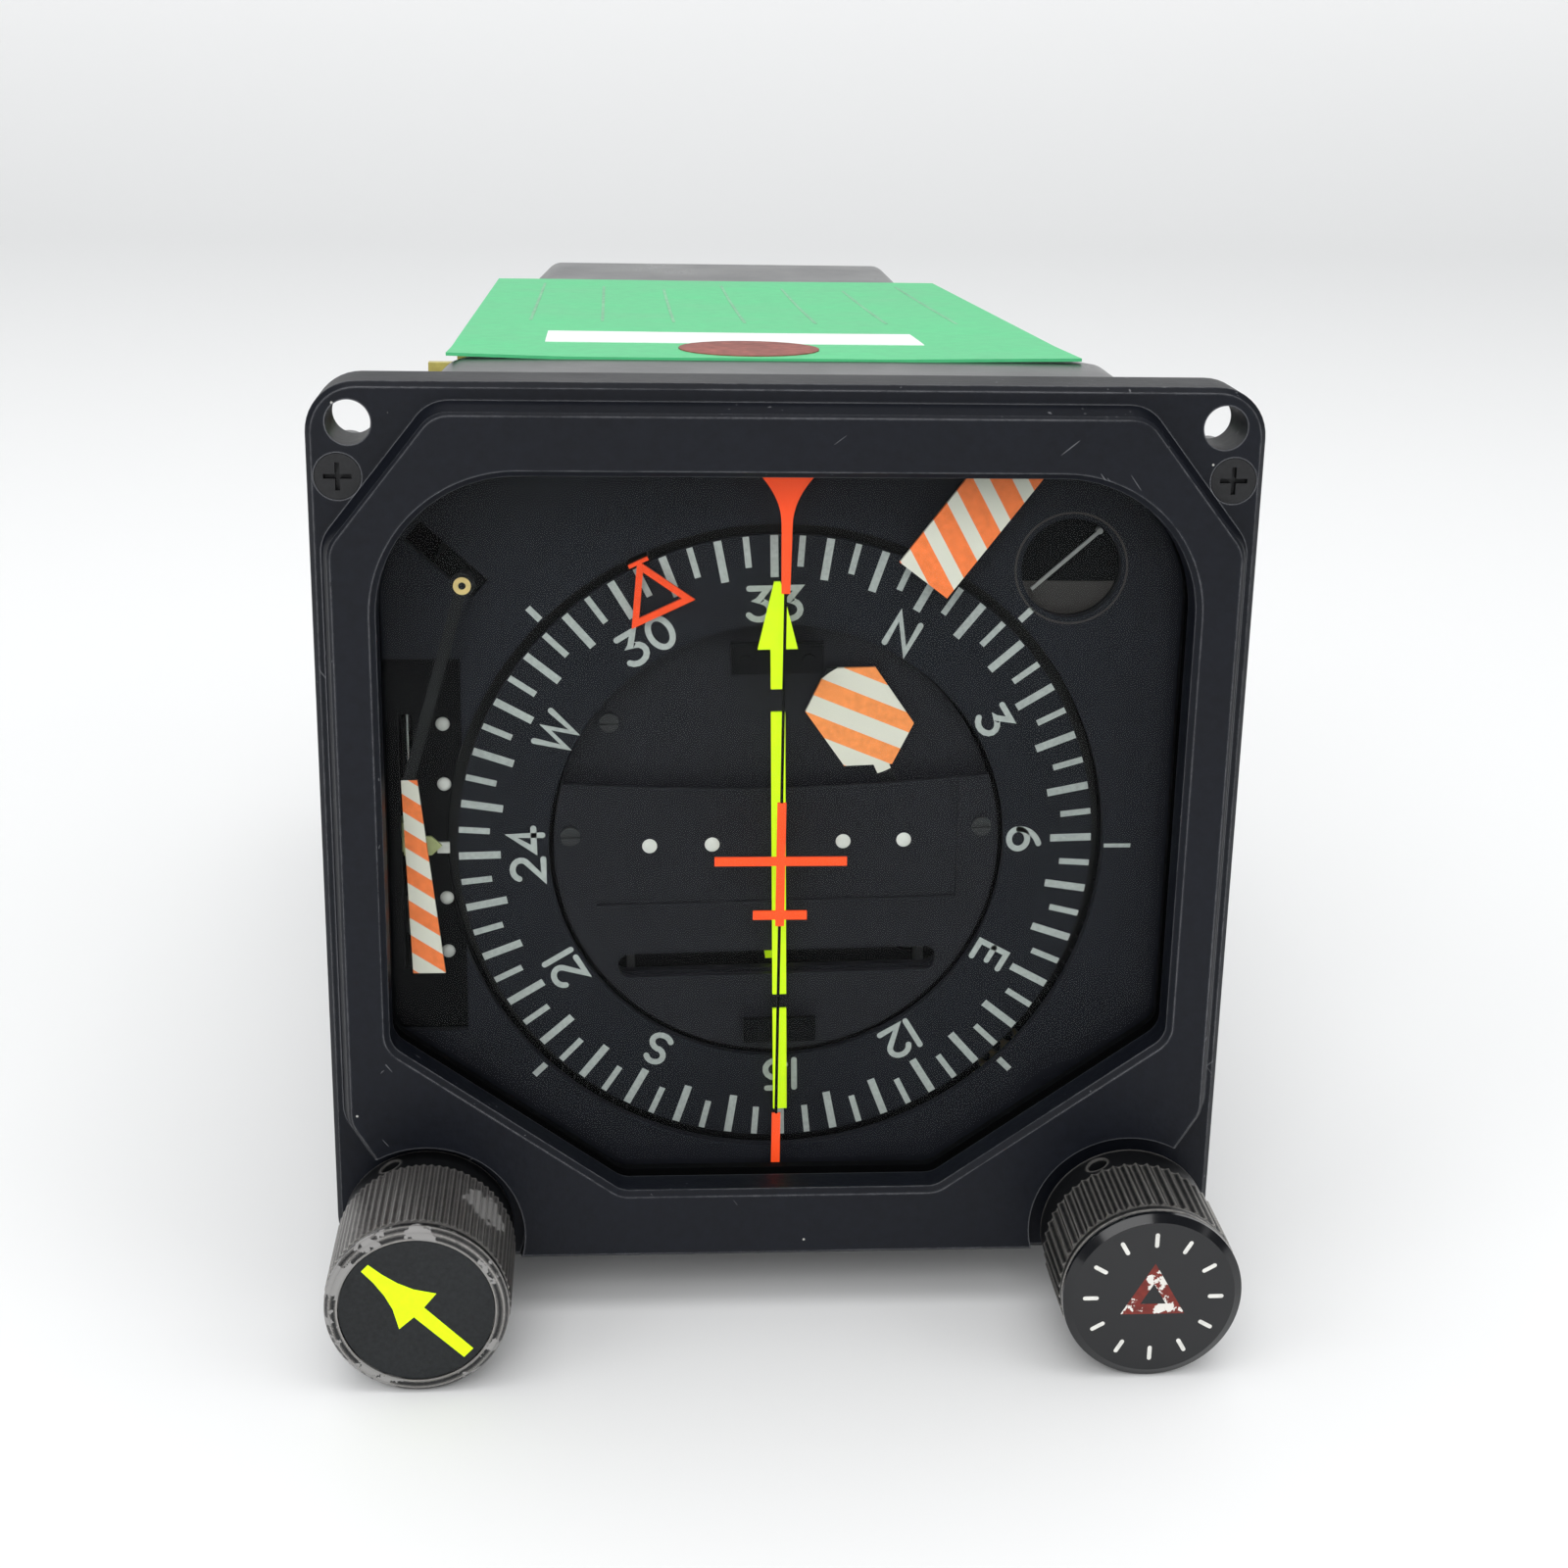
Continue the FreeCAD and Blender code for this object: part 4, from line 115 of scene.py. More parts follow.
def on_circle(radius: float, degrees: float, centre: Point = (0.0, DIAL_Z)) -> Point:
    """A point on a circle, anticlockwise from the right."""
    angle = math.radians(degrees)
    return (centre[0] + radius * math.cos(angle), centre[1] + radius * math.sin(angle))


class Shape:
    """Gathers closed pieces into one mesh.

    Outlines are (x, z) points in millimetres and depths are along Y.
    """

    def __init__(self) -> None:
        """Start with nothing."""
        self.points: list[Place] = []
        self.faces: list[list[int]] = []

    def prism(self, outline: list[Point], near: float, far: float) -> "Shape":
        """Add a flat piece.

        Args:
            outline: its corners in order.
            near: depth of its front.
            far: depth of its rear.

        Returns:
            The same shape, to add to.
        """
        count = len(outline)
        area = sum(
            outline[i][0] * outline[(i + 1) % count][1] - outline[(i + 1) % count][0] * outline[i][1]
            for i in range(count)
        )
        corners = outline if area > 0 else outline[::-1]
        start = len(self.points)
        self.points += [(x, near, z) for x, z in corners]
        self.points += [(x, far, z) for x, z in corners]
        self.faces.append(list(range(start, start + count)))
        self.faces.append([start + count + i for i in reversed(range(count))])
        for i in range(count):
            j = (i + 1) % count
            self.faces.append([start + i, start + count + i, start + count + j, start + j])
        return self

    def ring(self, centre: Point, radii: Point, near: float, far: float, steps: int = 96) -> "Shape":
        """Add a flat ring.

        Args:
            centre: its middle.
            radii: its inner and outer radius.
            near: depth of its front.
            far: depth of its rear.
            steps: points around it.

        Returns:
            The same shape, to add to.
        """
        inner, outer = radii
        start = len(self.points)
        for radius, depth in ((inner, near), (outer, near), (outer, far), (inner, far)):
            circle = [on_circle(radius, 360.0 * i / steps, centre) for i in range(steps)]
            self.points += [(x, depth, z) for x, z in circle]
        for band in range(4):
            following = (band + 1) % 4
            for i in range(steps):
                j = (i + 1) % steps
                self.faces.append(
                    [start + band * steps + i, start + following * steps + i,
                     start + following * steps + j, start + band * steps + j]
                )
        return self

    def dome(
        self, centre: Point, radius: float, height: float, base: float, steps: int = 24, levels: int = 5
    ) -> "Shape":
        """Add a bead that bulges forward from a flat base.

        Args:
            centre: its middle.
            radius: radius at the base.
            height: how far it stands forward.
            base: depth of the base.
            steps: points around it.
            levels: rings of points from the base to the peak.

        Returns:
            The same shape, to add to.
        """
        start = len(self.points)
        for level in range(levels):
            angle = math.pi / 2 * level / levels
            for i in range(steps):
                x, z = on_circle(radius * math.cos(angle), 360.0 * i / steps, centre)
                self.points.append((x, base - height * math.sin(angle), z))
        peak = len(self.points)
        self.points.append((centre[0], base - height, centre[1]))
        self.faces.append([start + i for i in reversed(range(steps))])
        for level in range(levels - 1):
            for i in range(steps):
                j = (i + 1) % steps
                low = start + level * steps
                self.faces.append([low + i, low + j, low + steps + j, low + steps + i])
        last = start + (levels - 1) * steps
        for i in range(steps):
            self.faces.append([last + i, last + (i + 1) % steps, peak])
        return self

    def ribbon(
        self, path: list[Point], width: float, near: float, far: float, closed: bool = False
    ) -> "Shape":
        """Add a line of even width with round ends.

        Args:
            path: points along its middle.
            width: its width.
            near: depth of its front.
            far: depth of its rear.
            closed: True where the path joins up with its start.

        Returns:
            The same shape, to add to.
        """
        half = width / 2
        count = len(path)
        sides: list[tuple[Point, Point]] = []
        for i, (x, z) in enumerate(path):
            before = path[i - 1] if i > 0 or closed else path[i]
            after = path[(i + 1) % count] if i < count - 1 or closed else path[i]
            first = unit((x - before[0], z - before[1]))
            second = unit((after[0] - x, after[1] - z))
            first = first if first != (0.0, 0.0) else second
            second = second if second != (0.0, 0.0) else first
            along = unit((first[0] + second[0], first[1] + second[1]))
            normal = (-along[1], along[0])
            turned = abs(normal[0] * -first[1] + normal[1] * first[0])
            reach_x, reach_z = (part * half / max(SHARPEST_CORNER, turned) for part in normal)
            sides.append(((x + reach_x, z + reach_z), (x - reach_x, z - reach_z)))
        if closed:
            start = len(self.points)
            rear = 2 * count
            for depth in (near, far):
                for left, right in sides:
                    self.points += [(left[0], depth, left[1]), (right[0], depth, right[1])]
            for i in range(count):
                a, b = start + 2 * i, start + 2 * ((i + 1) % count)
                self.faces += [
                    [a, a + 1, b + 1, b], [a + rear, b + rear, b + 1 + rear, a + 1 + rear],
                    [a, b, b + rear, a + rear], [a + 1, a + 1 + rear, b + 1 + rear, b + 1],
                ]
            return self
        outline = [left for left, _ in sides] + self.cap(path[-1], path[-2], half)
        outline += [right for _, right in reversed(sides)] + self.cap(path[0], path[1], half)
        return self.prism(outline, near, far)

    @staticmethod
    def cap(end: Point, inward: Point, half: float) -> list[Point]:
        """The round end of a line, from its left side to its right, in steps of 30 degrees."""
        heading = math.degrees(math.atan2(end[1] - inward[1], end[0] - inward[0]))
        return [on_circle(half, heading + turn, end) for turn in (60, 30, 0, -30, -60)]

    def turn(self, degrees: float, centre: Point) -> "Shape":
        """Turn everything anticlockwise, as seen from the front.

        Args:
            degrees: how far.
            centre: the point that stays.

        Returns:
            The same shape, to add to.
        """
        cosine, sine = math.cos(math.radians(degrees)), math.sin(math.radians(degrees))
        cx, cz = centre
        self.points = [
            (cx + (x - cx) * cosine - (z - cz) * sine, y, cz + (x - cx) * sine + (z - cz) * cosine)
            for x, y, z in self.points
        ]
        return self

    def mesh(self, name: str) -> bpy.types.Mesh:
        """The points and faces as a mesh, in metres.

        Args:
            name: the mesh's name.

        Returns:
            The new mesh.
        """
        mesh = bpy.data.meshes.new(name)
        mesh.from_pydata([(x * MM, y * MM, z * MM) for x, y, z in self.points], [], self.faces)
        return mesh

    def build(self, name: str, material: bpy.types.Material, body: str, slot: str) -> bpy.types.Object:
        """Make the mesh object.

        Args:
            name: the piece's name.
            material: its finish.
            body: the CAD body it rides on.
            slot: the record's material slot; not used.

        Returns:
            The new object.
        """
        mesh = self.mesh(name)
        mesh.validate()
        mesh.update()
        piece = bpy.data.objects.new(name, mesh)
        bpy.context.scene.collection.objects.link(piece)
        piece.data.materials.append(material)
        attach(piece, body)
        log.info("piece %s on %s", name, body)
        return piece


def unit(vector: Point) -> Point:
    """The vector at length one, or zero where it has no length."""
    length = math.hypot(*vector)
    return (vector[0] / length, vector[1] / length) if length > TINY else (0.0, 0.0)


def arc(cx: float, cz: float, rx: float, rz: float, start: float, end: float, steps: int = 10) -> list[Point]:
    """Points along part of an ellipse.

    Args:
        cx: its centre across.
        cz: its centre upward.
        rx: its radius across.
        rz: its radius upward.
        start: where it begins, in degrees from the right.
        end: where it ends.
        steps: parts that it is cut into.

    Returns:
        The points in order.
    """
    points = []
    for i in range(steps + 1):
        angle = math.radians(start + (end - start) * i / steps)
        points.append((cx + rx * math.cos(angle), cz + rz * math.sin(angle)))
    return points


class Effects:
    """Shader node groups that several finishes share, each built once.

    Scales of noise are repeats per metre.
    """

    # Edge wear: gains of edge and noise, then where the mask starts and how steeply it rises.
    bevel_samples: int = 4
    edge_gain: float = 7.0
    patch_gain: float = 3.4
    broad_scale: float = 60.0
    wear_floor: float = 0.25
    wear_steepness: float = 2.2
    # Grain: scale of the clouding, strength of the tone and reach of the roughness shift.
    cloud_scale: float = 70.0
    tone_gain: float = 4.0
    roughness_reach: float = 0.2
    # Dust: cells per metre and the share of a cell that a speck fills.
    dust_cells: float = 420.0
    speck_size: float = 0.05
    # Scratches: turn in radians and scale of each set, their stretch, and what counts as one.
    scratch_sets: tuple[Point, ...] = ((0.9, 2040.0), (-0.65, 2520.0))
    scratch_stretch: float = 22.0
    scratch_level: float = 0.76
    scratched_scale: float = 45.0
    scratched_level: float = 0.56
    # Chipped place: scale and reach of its ragged edge.
    ragged_scale: float = 700.0
    ragged_gain: float = 2.0

    def __init__(self) -> None:
        """Build every group."""
        self.wear = self.edge_wear()
        self.grain = self.surface_grain()
        self.dust = self.settled_dust()
        self.stripes = self.slanted_stripes()
        self.area = self.printed_area()
        self.depth = self.front_depth()
        self.flakes = self.flaked_patches()
        self.scratches = self.fine_scratches()
        self.patch = self.chipped_patch()

    @staticmethod
    def group(name: str, inputs: dict[str, float], outputs: list[str]) -> tuple[Tree, Ends]:
        """A new group with number inputs and outputs.

        Args:
            name: the group's name.
            inputs: input names and their defaults.
            outputs: output names.

        Returns:
            The group, and its input and output nodes.
        """
        tree = bpy.data.node_groups.new(name, "ShaderNodeTree")
        for label, value in inputs.items():
            socket = tree.interface.new_socket(name=label, in_out="INPUT", socket_type="NodeSocketFloat")
            socket.default_value = value
        for label in outputs:
            tree.interface.new_socket(name=label, in_out="OUTPUT", socket_type="NodeSocketFloat")
        ends = {"in": tree.nodes.new("NodeGroupInput"), "out": tree.nodes.new("NodeGroupOutput")}
        return tree, ends

    @staticmethod
    def maths(tree: Tree, operation: str, first: Feed, second: Feed = 0.0) -> Socket:
        """A math node fed by sockets or numbers.

        Args:
            tree: the tree to add it to.
            operation: the math node's operation.
            first: socket or number for the first input.
            second: socket or number for the second input.

        Returns:
            Its output socket.
        """
        node = tree.nodes.new("ShaderNodeMath")
        node.operation = operation
        for socket, value in zip(node.inputs, (first, second)):
            if isinstance(value, (int, float)):
                socket.default_value = value
            else:
                tree.links.new(value, socket)
        return node.outputs[0]

    @staticmethod
    def noise(tree: Tree, scale: Feed, detail: float = 3.0, rough: float = 0.55) -> Socket:
        """A noise texture in object coordinates.

        Args:
            tree: the tree to add it to.
            scale: socket or number for its scale.
            detail: its detail.
            rough: its roughness.

        Returns:
            Its value socket.
        """
        place = tree.nodes.new("ShaderNodeTexCoord")
        node = tree.nodes.new("ShaderNodeTexNoise")
        node.inputs["Detail"].default_value = detail
        node.inputs["Roughness"].default_value = rough
        tree.links.new(place.outputs["Object"], node.inputs["Vector"])
        if isinstance(scale, (int, float)):
            node.inputs["Scale"].default_value = scale
        else:
            tree.links.new(scale, node.inputs["Scale"])
        return node.outputs["Fac"]

    @staticmethod
    def measured(tree: Tree, axes: str) -> list[Socket]:
        """Object coordinates in millimetres.

        Args:
            tree: the tree to add them to.
            axes: the letters of the axes wanted.

        Returns:
            One socket for each axis, in that order.
        """
        place = tree.nodes.new("ShaderNodeTexCoord")
        split = tree.nodes.new("ShaderNodeSeparateXYZ")
        tree.links.new(place.outputs["Object"], split.inputs[0])
        return [Effects.maths(tree, "MULTIPLY", split.outputs[axis], PER_METRE) for axis in axes]

    def distance(self, tree: Tree, ends: Ends, axes: str) -> Socket:
        """Distance of a surface point from the group's own point.

        Args:
            tree: the group.
            ends: its input and output nodes, with one input for each axis.
            axes: the letters of the axes that count.

        Returns:
            The distance in millimetres.
        """
        total: Feed = 0.0
        for axis, length in zip(axes, self.measured(tree, axes)):
            offset = self.maths(tree, "SUBTRACT", length, ends["in"].outputs[axis])
            total = self.maths(tree, "ADD", self.maths(tree, "MULTIPLY", offset, offset), total)
        return self.maths(tree, "SQRT", total)

    def edge_wear(self) -> Tree:
        """Bare metal showing along edges, broken up by noise.

        Returns:
            The group, with the worn places as a mask.
        """
        tree, ends = self.group("edge wear", {"Amount": 0.5, "Scale": 900.0, "Width": 0.00022}, ["Mask"])
        bevel = tree.nodes.new("ShaderNodeBevel")
        bevel.samples = self.bevel_samples
        tree.links.new(ends["in"].outputs["Width"], bevel.inputs["Radius"])
        flat = tree.nodes.new("ShaderNodeNewGeometry")
        dot = tree.nodes.new("ShaderNodeVectorMath")
        dot.operation = "DOT_PRODUCT"
        tree.links.new(bevel.outputs["Normal"], dot.inputs[0])
        tree.links.new(flat.outputs["Normal"], dot.inputs[1])
        edge = self.maths(tree, "SUBTRACT", 1.0, dot.outputs["Value"])
        edge = self.maths(tree, "MULTIPLY", edge, self.edge_gain)
        patches = self.noise(tree, ends["in"].outputs["Scale"], detail=4.0, rough=0.7)
        broad = self.noise(tree, self.broad_scale, detail=2.0)
        patches = self.maths(tree, "MULTIPLY", patches, broad)
        patches = self.maths(tree, "MULTIPLY", patches, self.patch_gain)
        worn = self.maths(tree, "MULTIPLY", edge, patches)
        worn = self.maths(tree, "MULTIPLY", worn, ends["in"].outputs["Amount"])
        worn = self.maths(tree, "SUBTRACT", worn, self.wear_floor)
        worn = self.maths(tree, "MULTIPLY", worn, self.wear_steepness)
        clamp = tree.nodes.new("ShaderNodeClamp")
        tree.links.new(worn, clamp.inputs["Value"])
        tree.links.new(clamp.outputs[0], ends["out"].inputs["Mask"])
        return tree

    def surface_grain(self) -> Tree:
        """Fine texture: a tone factor about one, a height and a roughness shift.

        Returns:
            The group.
        """
        inputs = {"Scale": 1500.0, "Contrast": 0.2}
        tree, ends = self.group("surface grain", inputs, ["Tone", "Height", "Shift"])
        fine = self.noise(tree, ends["in"].outputs["Scale"], detail=2.0)
        cloud = self.noise(tree, self.cloud_scale, detail=4.0, rough=0.6)
        fine_part = self.maths(tree, "SUBTRACT", fine, 0.5)
        cloud_part = self.maths(tree, "SUBTRACT", cloud, 0.5)
        both = self.maths(tree, "ADD", fine_part, cloud_part)
        tone = self.maths(tree, "MULTIPLY", both, ends["in"].outputs["Contrast"])
        tone = self.maths(tree, "MULTIPLY", tone, self.tone_gain)
        tone = self.maths(tree, "ADD", tone, 1.0)
        shift = self.maths(tree, "MULTIPLY", cloud_part, self.roughness_reach)
        tree.links.new(tone, ends["out"].inputs["Tone"])
        tree.links.new(fine, ends["out"].inputs["Height"])
        tree.links.new(shift, ends["out"].inputs["Shift"])
        return tree

    def settled_dust(self) -> Tree:
        """Pale specks of dust.

        Returns:
            The group, with the specks as a mask.
        """
        tree, ends = self.group("settled dust", {"Amount": 0.3}, ["Mask"])
        place = tree.nodes.new("ShaderNodeTexCoord")
        cells = tree.nodes.new("ShaderNodeTexVoronoi")
        cells.inputs["Scale"].default_value = self.dust_cells
        tree.links.new(place.outputs["Object"], cells.inputs["Vector"])
        speck = self.maths(tree, "LESS_THAN", cells.outputs["Distance"], self.speck_size)
        split = tree.nodes.new("ShaderNodeSeparateColor")
        tree.links.new(cells.outputs["Color"], split.inputs["Color"])
        chosen = self.maths(tree, "LESS_THAN", split.outputs["Red"], ends["in"].outputs["Amount"])
        mask = self.maths(tree, "MULTIPLY", speck, chosen)
        tree.links.new(mask, ends["out"].inputs["Mask"])
        return tree

    def slanted_stripes(self) -> Tree:
        """Even stripes across the X and Z of a piece.

        Returns:
            The group, with the stripes as a mask.
        """
        inputs = {"Angle": 0.0, "Pitch": 3.1, "Start": 0.0, "Share": 0.5}
        tree, ends = self.group("slanted stripes", inputs, ["Mask"])
        x, z = self.measured(tree, "XZ")
        angle = ends["in"].outputs["Angle"]
        across_x = self.maths(tree, "MULTIPLY", x, self.maths(tree, "SINE", angle))
        across_z = self.maths(tree, "MULTIPLY", z, self.maths(tree, "COSINE", angle))
        across = self.maths(tree, "SUBTRACT", across_z, across_x)
        across = self.maths(tree, "DIVIDE", across, ends["in"].outputs["Pitch"])
        across = self.maths(tree, "ADD", across, ends["in"].outputs["Start"])
        part = self.maths(tree, "FRACT", across)
        mask = self.maths(tree, "LESS_THAN", part, ends["in"].outputs["Share"])
        tree.links.new(mask, ends["out"].inputs["Mask"])
        return tree

    def printed_area(self) -> Tree:
        """A circle round a point in X and Z, in millimetres.

        Returns:
            The group, which gives one outside the circle.
        """
        tree, ends = self.group("printed area", {"X": 0.0, "Z": 0.0, "Reach": 1000.0}, ["Outside"])
        distance = self.distance(tree, ends, "XZ")
        outside = self.maths(tree, "GREATER_THAN", distance, ends["in"].outputs["Reach"])
        tree.links.new(outside, ends["out"].inputs["Outside"])
        return tree

    def front_depth(self) -> Tree:
        """A depth along Y, in millimetres.

        Returns:
            The group, which gives one behind that depth.
        """
        tree, ends = self.group("front depth", {"Edge": 0.0}, ["Behind"])
        depth, = self.measured(tree, "Y")
        behind = self.maths(tree, "GREATER_THAN", depth, ends["in"].outputs["Edge"])
        tree.links.new(behind, ends["out"].inputs["Behind"])
        return tree

    def fine_scratches(self) -> Tree:
        """Sparse thin streaks in two directions.

        Returns:
            The group, with the streaks as a mask.
        """
        tree, ends = self.group("fine scratches", {"Amount": 0.3}, ["Mask"])
        place = tree.nodes.new("ShaderNodeTexCoord")
        streaks = []
        for turn, scale in self.scratch_sets:
            turned = tree.nodes.new("ShaderNodeMapping")
            turned.vector_type = "TEXTURE"
            turned.inputs["Rotation"].default_value = (0.0, turn, 0.0)
            turned.inputs["Scale"].default_value = (1.0, 1.0, self.scratch_stretch)
            tree.links.new(place.outputs["Object"], turned.inputs["Vector"])
            cloud = tree.nodes.new("ShaderNodeTexNoise")
            cloud.inputs["Scale"].default_value = scale
            cloud.inputs["Detail"].default_value = 1.0
            tree.links.new(turned.outputs["Vector"], cloud.inputs["Vector"])
            streaks.append(self.maths(tree, "GREATER_THAN", cloud.outputs["Fac"], self.scratch_level))
        either = self.maths(tree, "MAXIMUM", streaks[0], streaks[1])
        broad = self.noise(tree, self.scratched_scale, detail=2.0)
        here = self.maths(tree, "GREATER_THAN", broad, self.scratched_level)
        shown = self.maths(tree, "MULTIPLY", either, here)
        mask = self.maths(tree, "MULTIPLY", shown, ends["in"].outputs["Amount"])
        tree.links.new(mask, ends["out"].inputs["Mask"])
        return tree

    def chipped_patch(self) -> Tree:
        """A ragged patch about a point, in millimetres.

        Returns:
            The group, with the patch as a mask.
        """
        tree, ends = self.group("chipped patch", {"X": 0.0, "Y": 0.0, "Z": 0.0, "Reach": 2.0}, ["Mask"])
        distance = self.distance(tree, ends, "XYZ")
        edge = self.noise(tree, self.ragged_scale, detail=4.0, rough=0.7)
        ragged = self.maths(tree, "MULTIPLY", edge, self.ragged_gain)
        reach = self.maths(tree, "MULTIPLY", ends["in"].outputs["Reach"], ragged)
        mask = self.maths(tree, "LESS_THAN", distance, reach)
        tree.links.new(mask, ends["out"].inputs["Mask"])
        return tree

    def flaked_patches(self) -> Tree:
        """Irregular patches with sharp edges.

        Returns:
            The group, with the patches as a mask.
        """
        tree, ends = self.group("flaked patches", {"Scale": 600.0, "Bare": 0.45}, ["Mask"])
        cloud = self.noise(tree, ends["in"].outputs["Scale"], detail=5.0, rough=0.65)
        mask = self.maths(tree, "LESS_THAN", cloud, ends["in"].outputs["Bare"])
        tree.links.new(mask, ends["out"].inputs["Mask"])
        return tree


# What every finish shares. The distance is in metres.
COAT_ROUGHNESS = 0.08
BUMP_DISTANCE = 0.0001
BARE_METALLIC = 0.8
DUST_COLOUR: Colour = (0.4, 0.4, 0.38)
FLAG_ARM_COLOUR: Colour = (0.004, 0.004, 0.005)
# Painted shade on the parts of a piece that sit deep behind the mask.
DEEP_SHADE_COLOUR: Colour = (0.003, 0.003, 0.0035)


@dataclass(frozen=True)
class Finish:
    """A paint, metal or plastic with grain, worn edges and dust."""

    name: str
    colour: Colour
    roughness: float = 0.5
    metallic: float = 0.0
    contrast: float = 0.1
    grain: float = 1500.0
    bump: float = 0.0
    wear: float = 0.0
    worn_colour: Colour = (0.42, 0.43, 0.44)
    dust: float = 0.0
    coat: float = 0.0
    specular: float = 0.5
    # Painted glow: light that the paint gives off in its own colour, though it is no lamp.
    painted_glow: float = 0.0
    scratches: float = 0.0
    edge_width: float = 0.22

    def make(self, effects: Effects) -> bpy.types.Material:
        """Build the material.

        Args:
            effects: the shared node groups.

        Returns:
            The finished material.
        """
        material = bpy.data.materials.new(self.name)
        material.use_nodes = True
        tree = material.node_tree
        shader = tree.nodes["Principled BSDF"]
        shader.inputs["Coat Weight"].default_value = self.coat
        shader.inputs["Specular IOR Level"].default_value = self.specular
        shader.inputs["Coat Roughness"].default_value = COAT_ROUGHNESS
        # Painted glow: the paint's own colour given off as light, as strong as painted_glow.
        shader.inputs["Emission Color"].default_value = (*self.colour, 1.0)
        shader.inputs["Emission Strength"].default_value = self.painted_glow
        grain = self.place(tree, effects.grain, {"Scale": self.grain, "Contrast": self.contrast})
        base = self.tinted(tree, self.colour, grain.outputs["Tone"])
        tree.links.new(base, shader.inputs["Base Color"])
        rough = Effects.maths(tree, "ADD", grain.outputs["Shift"], self.roughness)
        tree.links.new(rough, shader.inputs["Roughness"])
        shader.inputs["Metallic"].default_value = self.metallic
        if self.dust > 0:
            dust = self.place(tree, effects.dust, {"Amount": self.dust})
            self.cover(tree, dust.outputs["Mask"], DUST_COLOUR)
        if self.scratches > 0:
            lines = self.place(tree, effects.scratches, {"Amount": self.scratches})
            self.cover(tree, lines.outputs["Mask"], self.worn_colour)
        if self.wear > 0:
            wear = self.place(tree, effects.wear, {"Amount": self.wear, "Width": self.edge_width * MM})
            self.cover(tree, wear.outputs["Mask"], self.worn_colour)
            bare = Effects.maths(tree, "MULTIPLY", wear.outputs["Mask"], BARE_METALLIC)
            metal = Effects.maths(tree, "MAXIMUM", bare, self.metallic)
            tree.links.new(metal, shader.inputs["Metallic"])
        if self.bump > 0:
            bump = tree.nodes.new("ShaderNodeBump")
            bump.inputs["Strength"].default_value = self.bump
            bump.inputs["Distance"].default_value = BUMP_DISTANCE
            tree.links.new(grain.outputs["Height"], bump.inputs["Height"])
            tree.links.new(bump.outputs["Normal"], shader.inputs["Normal"])
        return material

    @staticmethod
    def place(tree: Tree, group: Tree, values: dict[str, float]) -> bpy.types.Node:
        """Put a shared group in a material with its own values.

        Args:
            tree: the material's tree.
            group: the shared group.
            values: input names and values.

        Returns:
            The group's node.
        """
        node = tree.nodes.new("ShaderNodeGroup")
        node.node_tree = group
        for label, value in values.items():
            node.inputs[label].default_value = value
        return node

    @staticmethod
    def tinted(tree: Tree, colour: Colour, factor: Socket) -> Socket:
        """A colour made lighter or darker by a factor.

        Args:
            tree: the material's tree.
            colour: the colour.
            factor: the factor's socket.

        Returns:
            The socket with the new colour.
        """
        node = tree.nodes.new("ShaderNodeVectorMath")
        node.operation = "SCALE"
        node.inputs[0].default_value = colour
        tree.links.new(factor, node.inputs["Scale"])
        return node.outputs["Vector"]

    @staticmethod
    def cover(tree: Tree, mask: Socket, over: Colour) -> None:
        """Lay a colour over the base colour where the mask is one.

        Args:
            tree: the material's tree.
            mask: the mask's socket.
            over: the colour on top.
        """
        target = tree.nodes["Principled BSDF"].inputs["Base Color"]
        node = tree.nodes.new("ShaderNodeMix")
        node.data_type = "RGBA"
        tree.links.new(mask, node.inputs["Factor"])
        tree.links.new(target.links[0].from_socket, node.inputs["A"])
        node.inputs["B"].default_value = (*over, 1.0)
        tree.links.new(node.outputs["Result"], target)


@dataclass(frozen=True)
class StripedFinish(Finish):
    """Two-colour slanted stripes on a flag, with its arm left dark."""

    second: Colour = (0.72, 0.69, 0.6)
    angle: float = 0.0
    pitch: float = 3.1
    start: float = 0.0
    share: float = 0.45
    centre: Point = (0.0, 0.0)
    reach: float = 1000.0

    def make(self, effects: Effects) -> bpy.types.Material:
        """Build the material.

        Args:
            effects: the shared node groups.

        Returns:
            The striped material.
        """
        material = super().make(effects)
        tree = material.node_tree
        values = {"Pitch": self.pitch, "Start": self.start, "Share": self.share}
        values["Angle"] = math.radians(self.angle)
        stripes = self.place(tree, effects.stripes, values)
        self.cover(tree, stripes.outputs["Mask"], self.second)
        area = self.place(tree, effects.area, {"X": self.centre[0], "Z": self.centre[1], "Reach": self.reach})
        self.cover(tree, area.outputs["Outside"], FLAG_ARM_COLOUR)
        return material


@dataclass(frozen=True)
class DepthFinish(Finish):
    """A paint on the front of a piece, with painted shade on its parts farther in, where they sit deep behind
    the mask.
    """

    edge: float = 2.0

    def make(self, effects: Effects) -> bpy.types.Material:
        """Build the material.

        Args:
            effects: the shared node groups.

        Returns:
            The material.
        """
        material = super().make(effects)
        tree = material.node_tree
        depth = self.place(tree, effects.depth, {"Edge": self.edge})
        # Painted shade: everything behind the edge depth goes near-black.
        self.cover(tree, depth.outputs["Behind"], DEEP_SHADE_COLOUR)
        return material


@dataclass(frozen=True)
class PatchyFinish(Finish):
    """A paint that has flaked off in patches to show a second colour."""

    second: Colour = (0.7, 0.7, 0.7)
    bare: float = 0.44
    flake_scale: float = 620.0

    def make(self, effects: Effects) -> bpy.types.Material:
        """Build the material.

        Args:
            effects: the shared node groups.

        Returns:
            The patchy material.
        """
        material = super().make(effects)
        tree = material.node_tree
        flakes = self.place(tree, effects.flakes, {"Scale": self.flake_scale, "Bare": self.bare})
        self.cover(tree, flakes.outputs["Mask"], self.second)
        return material


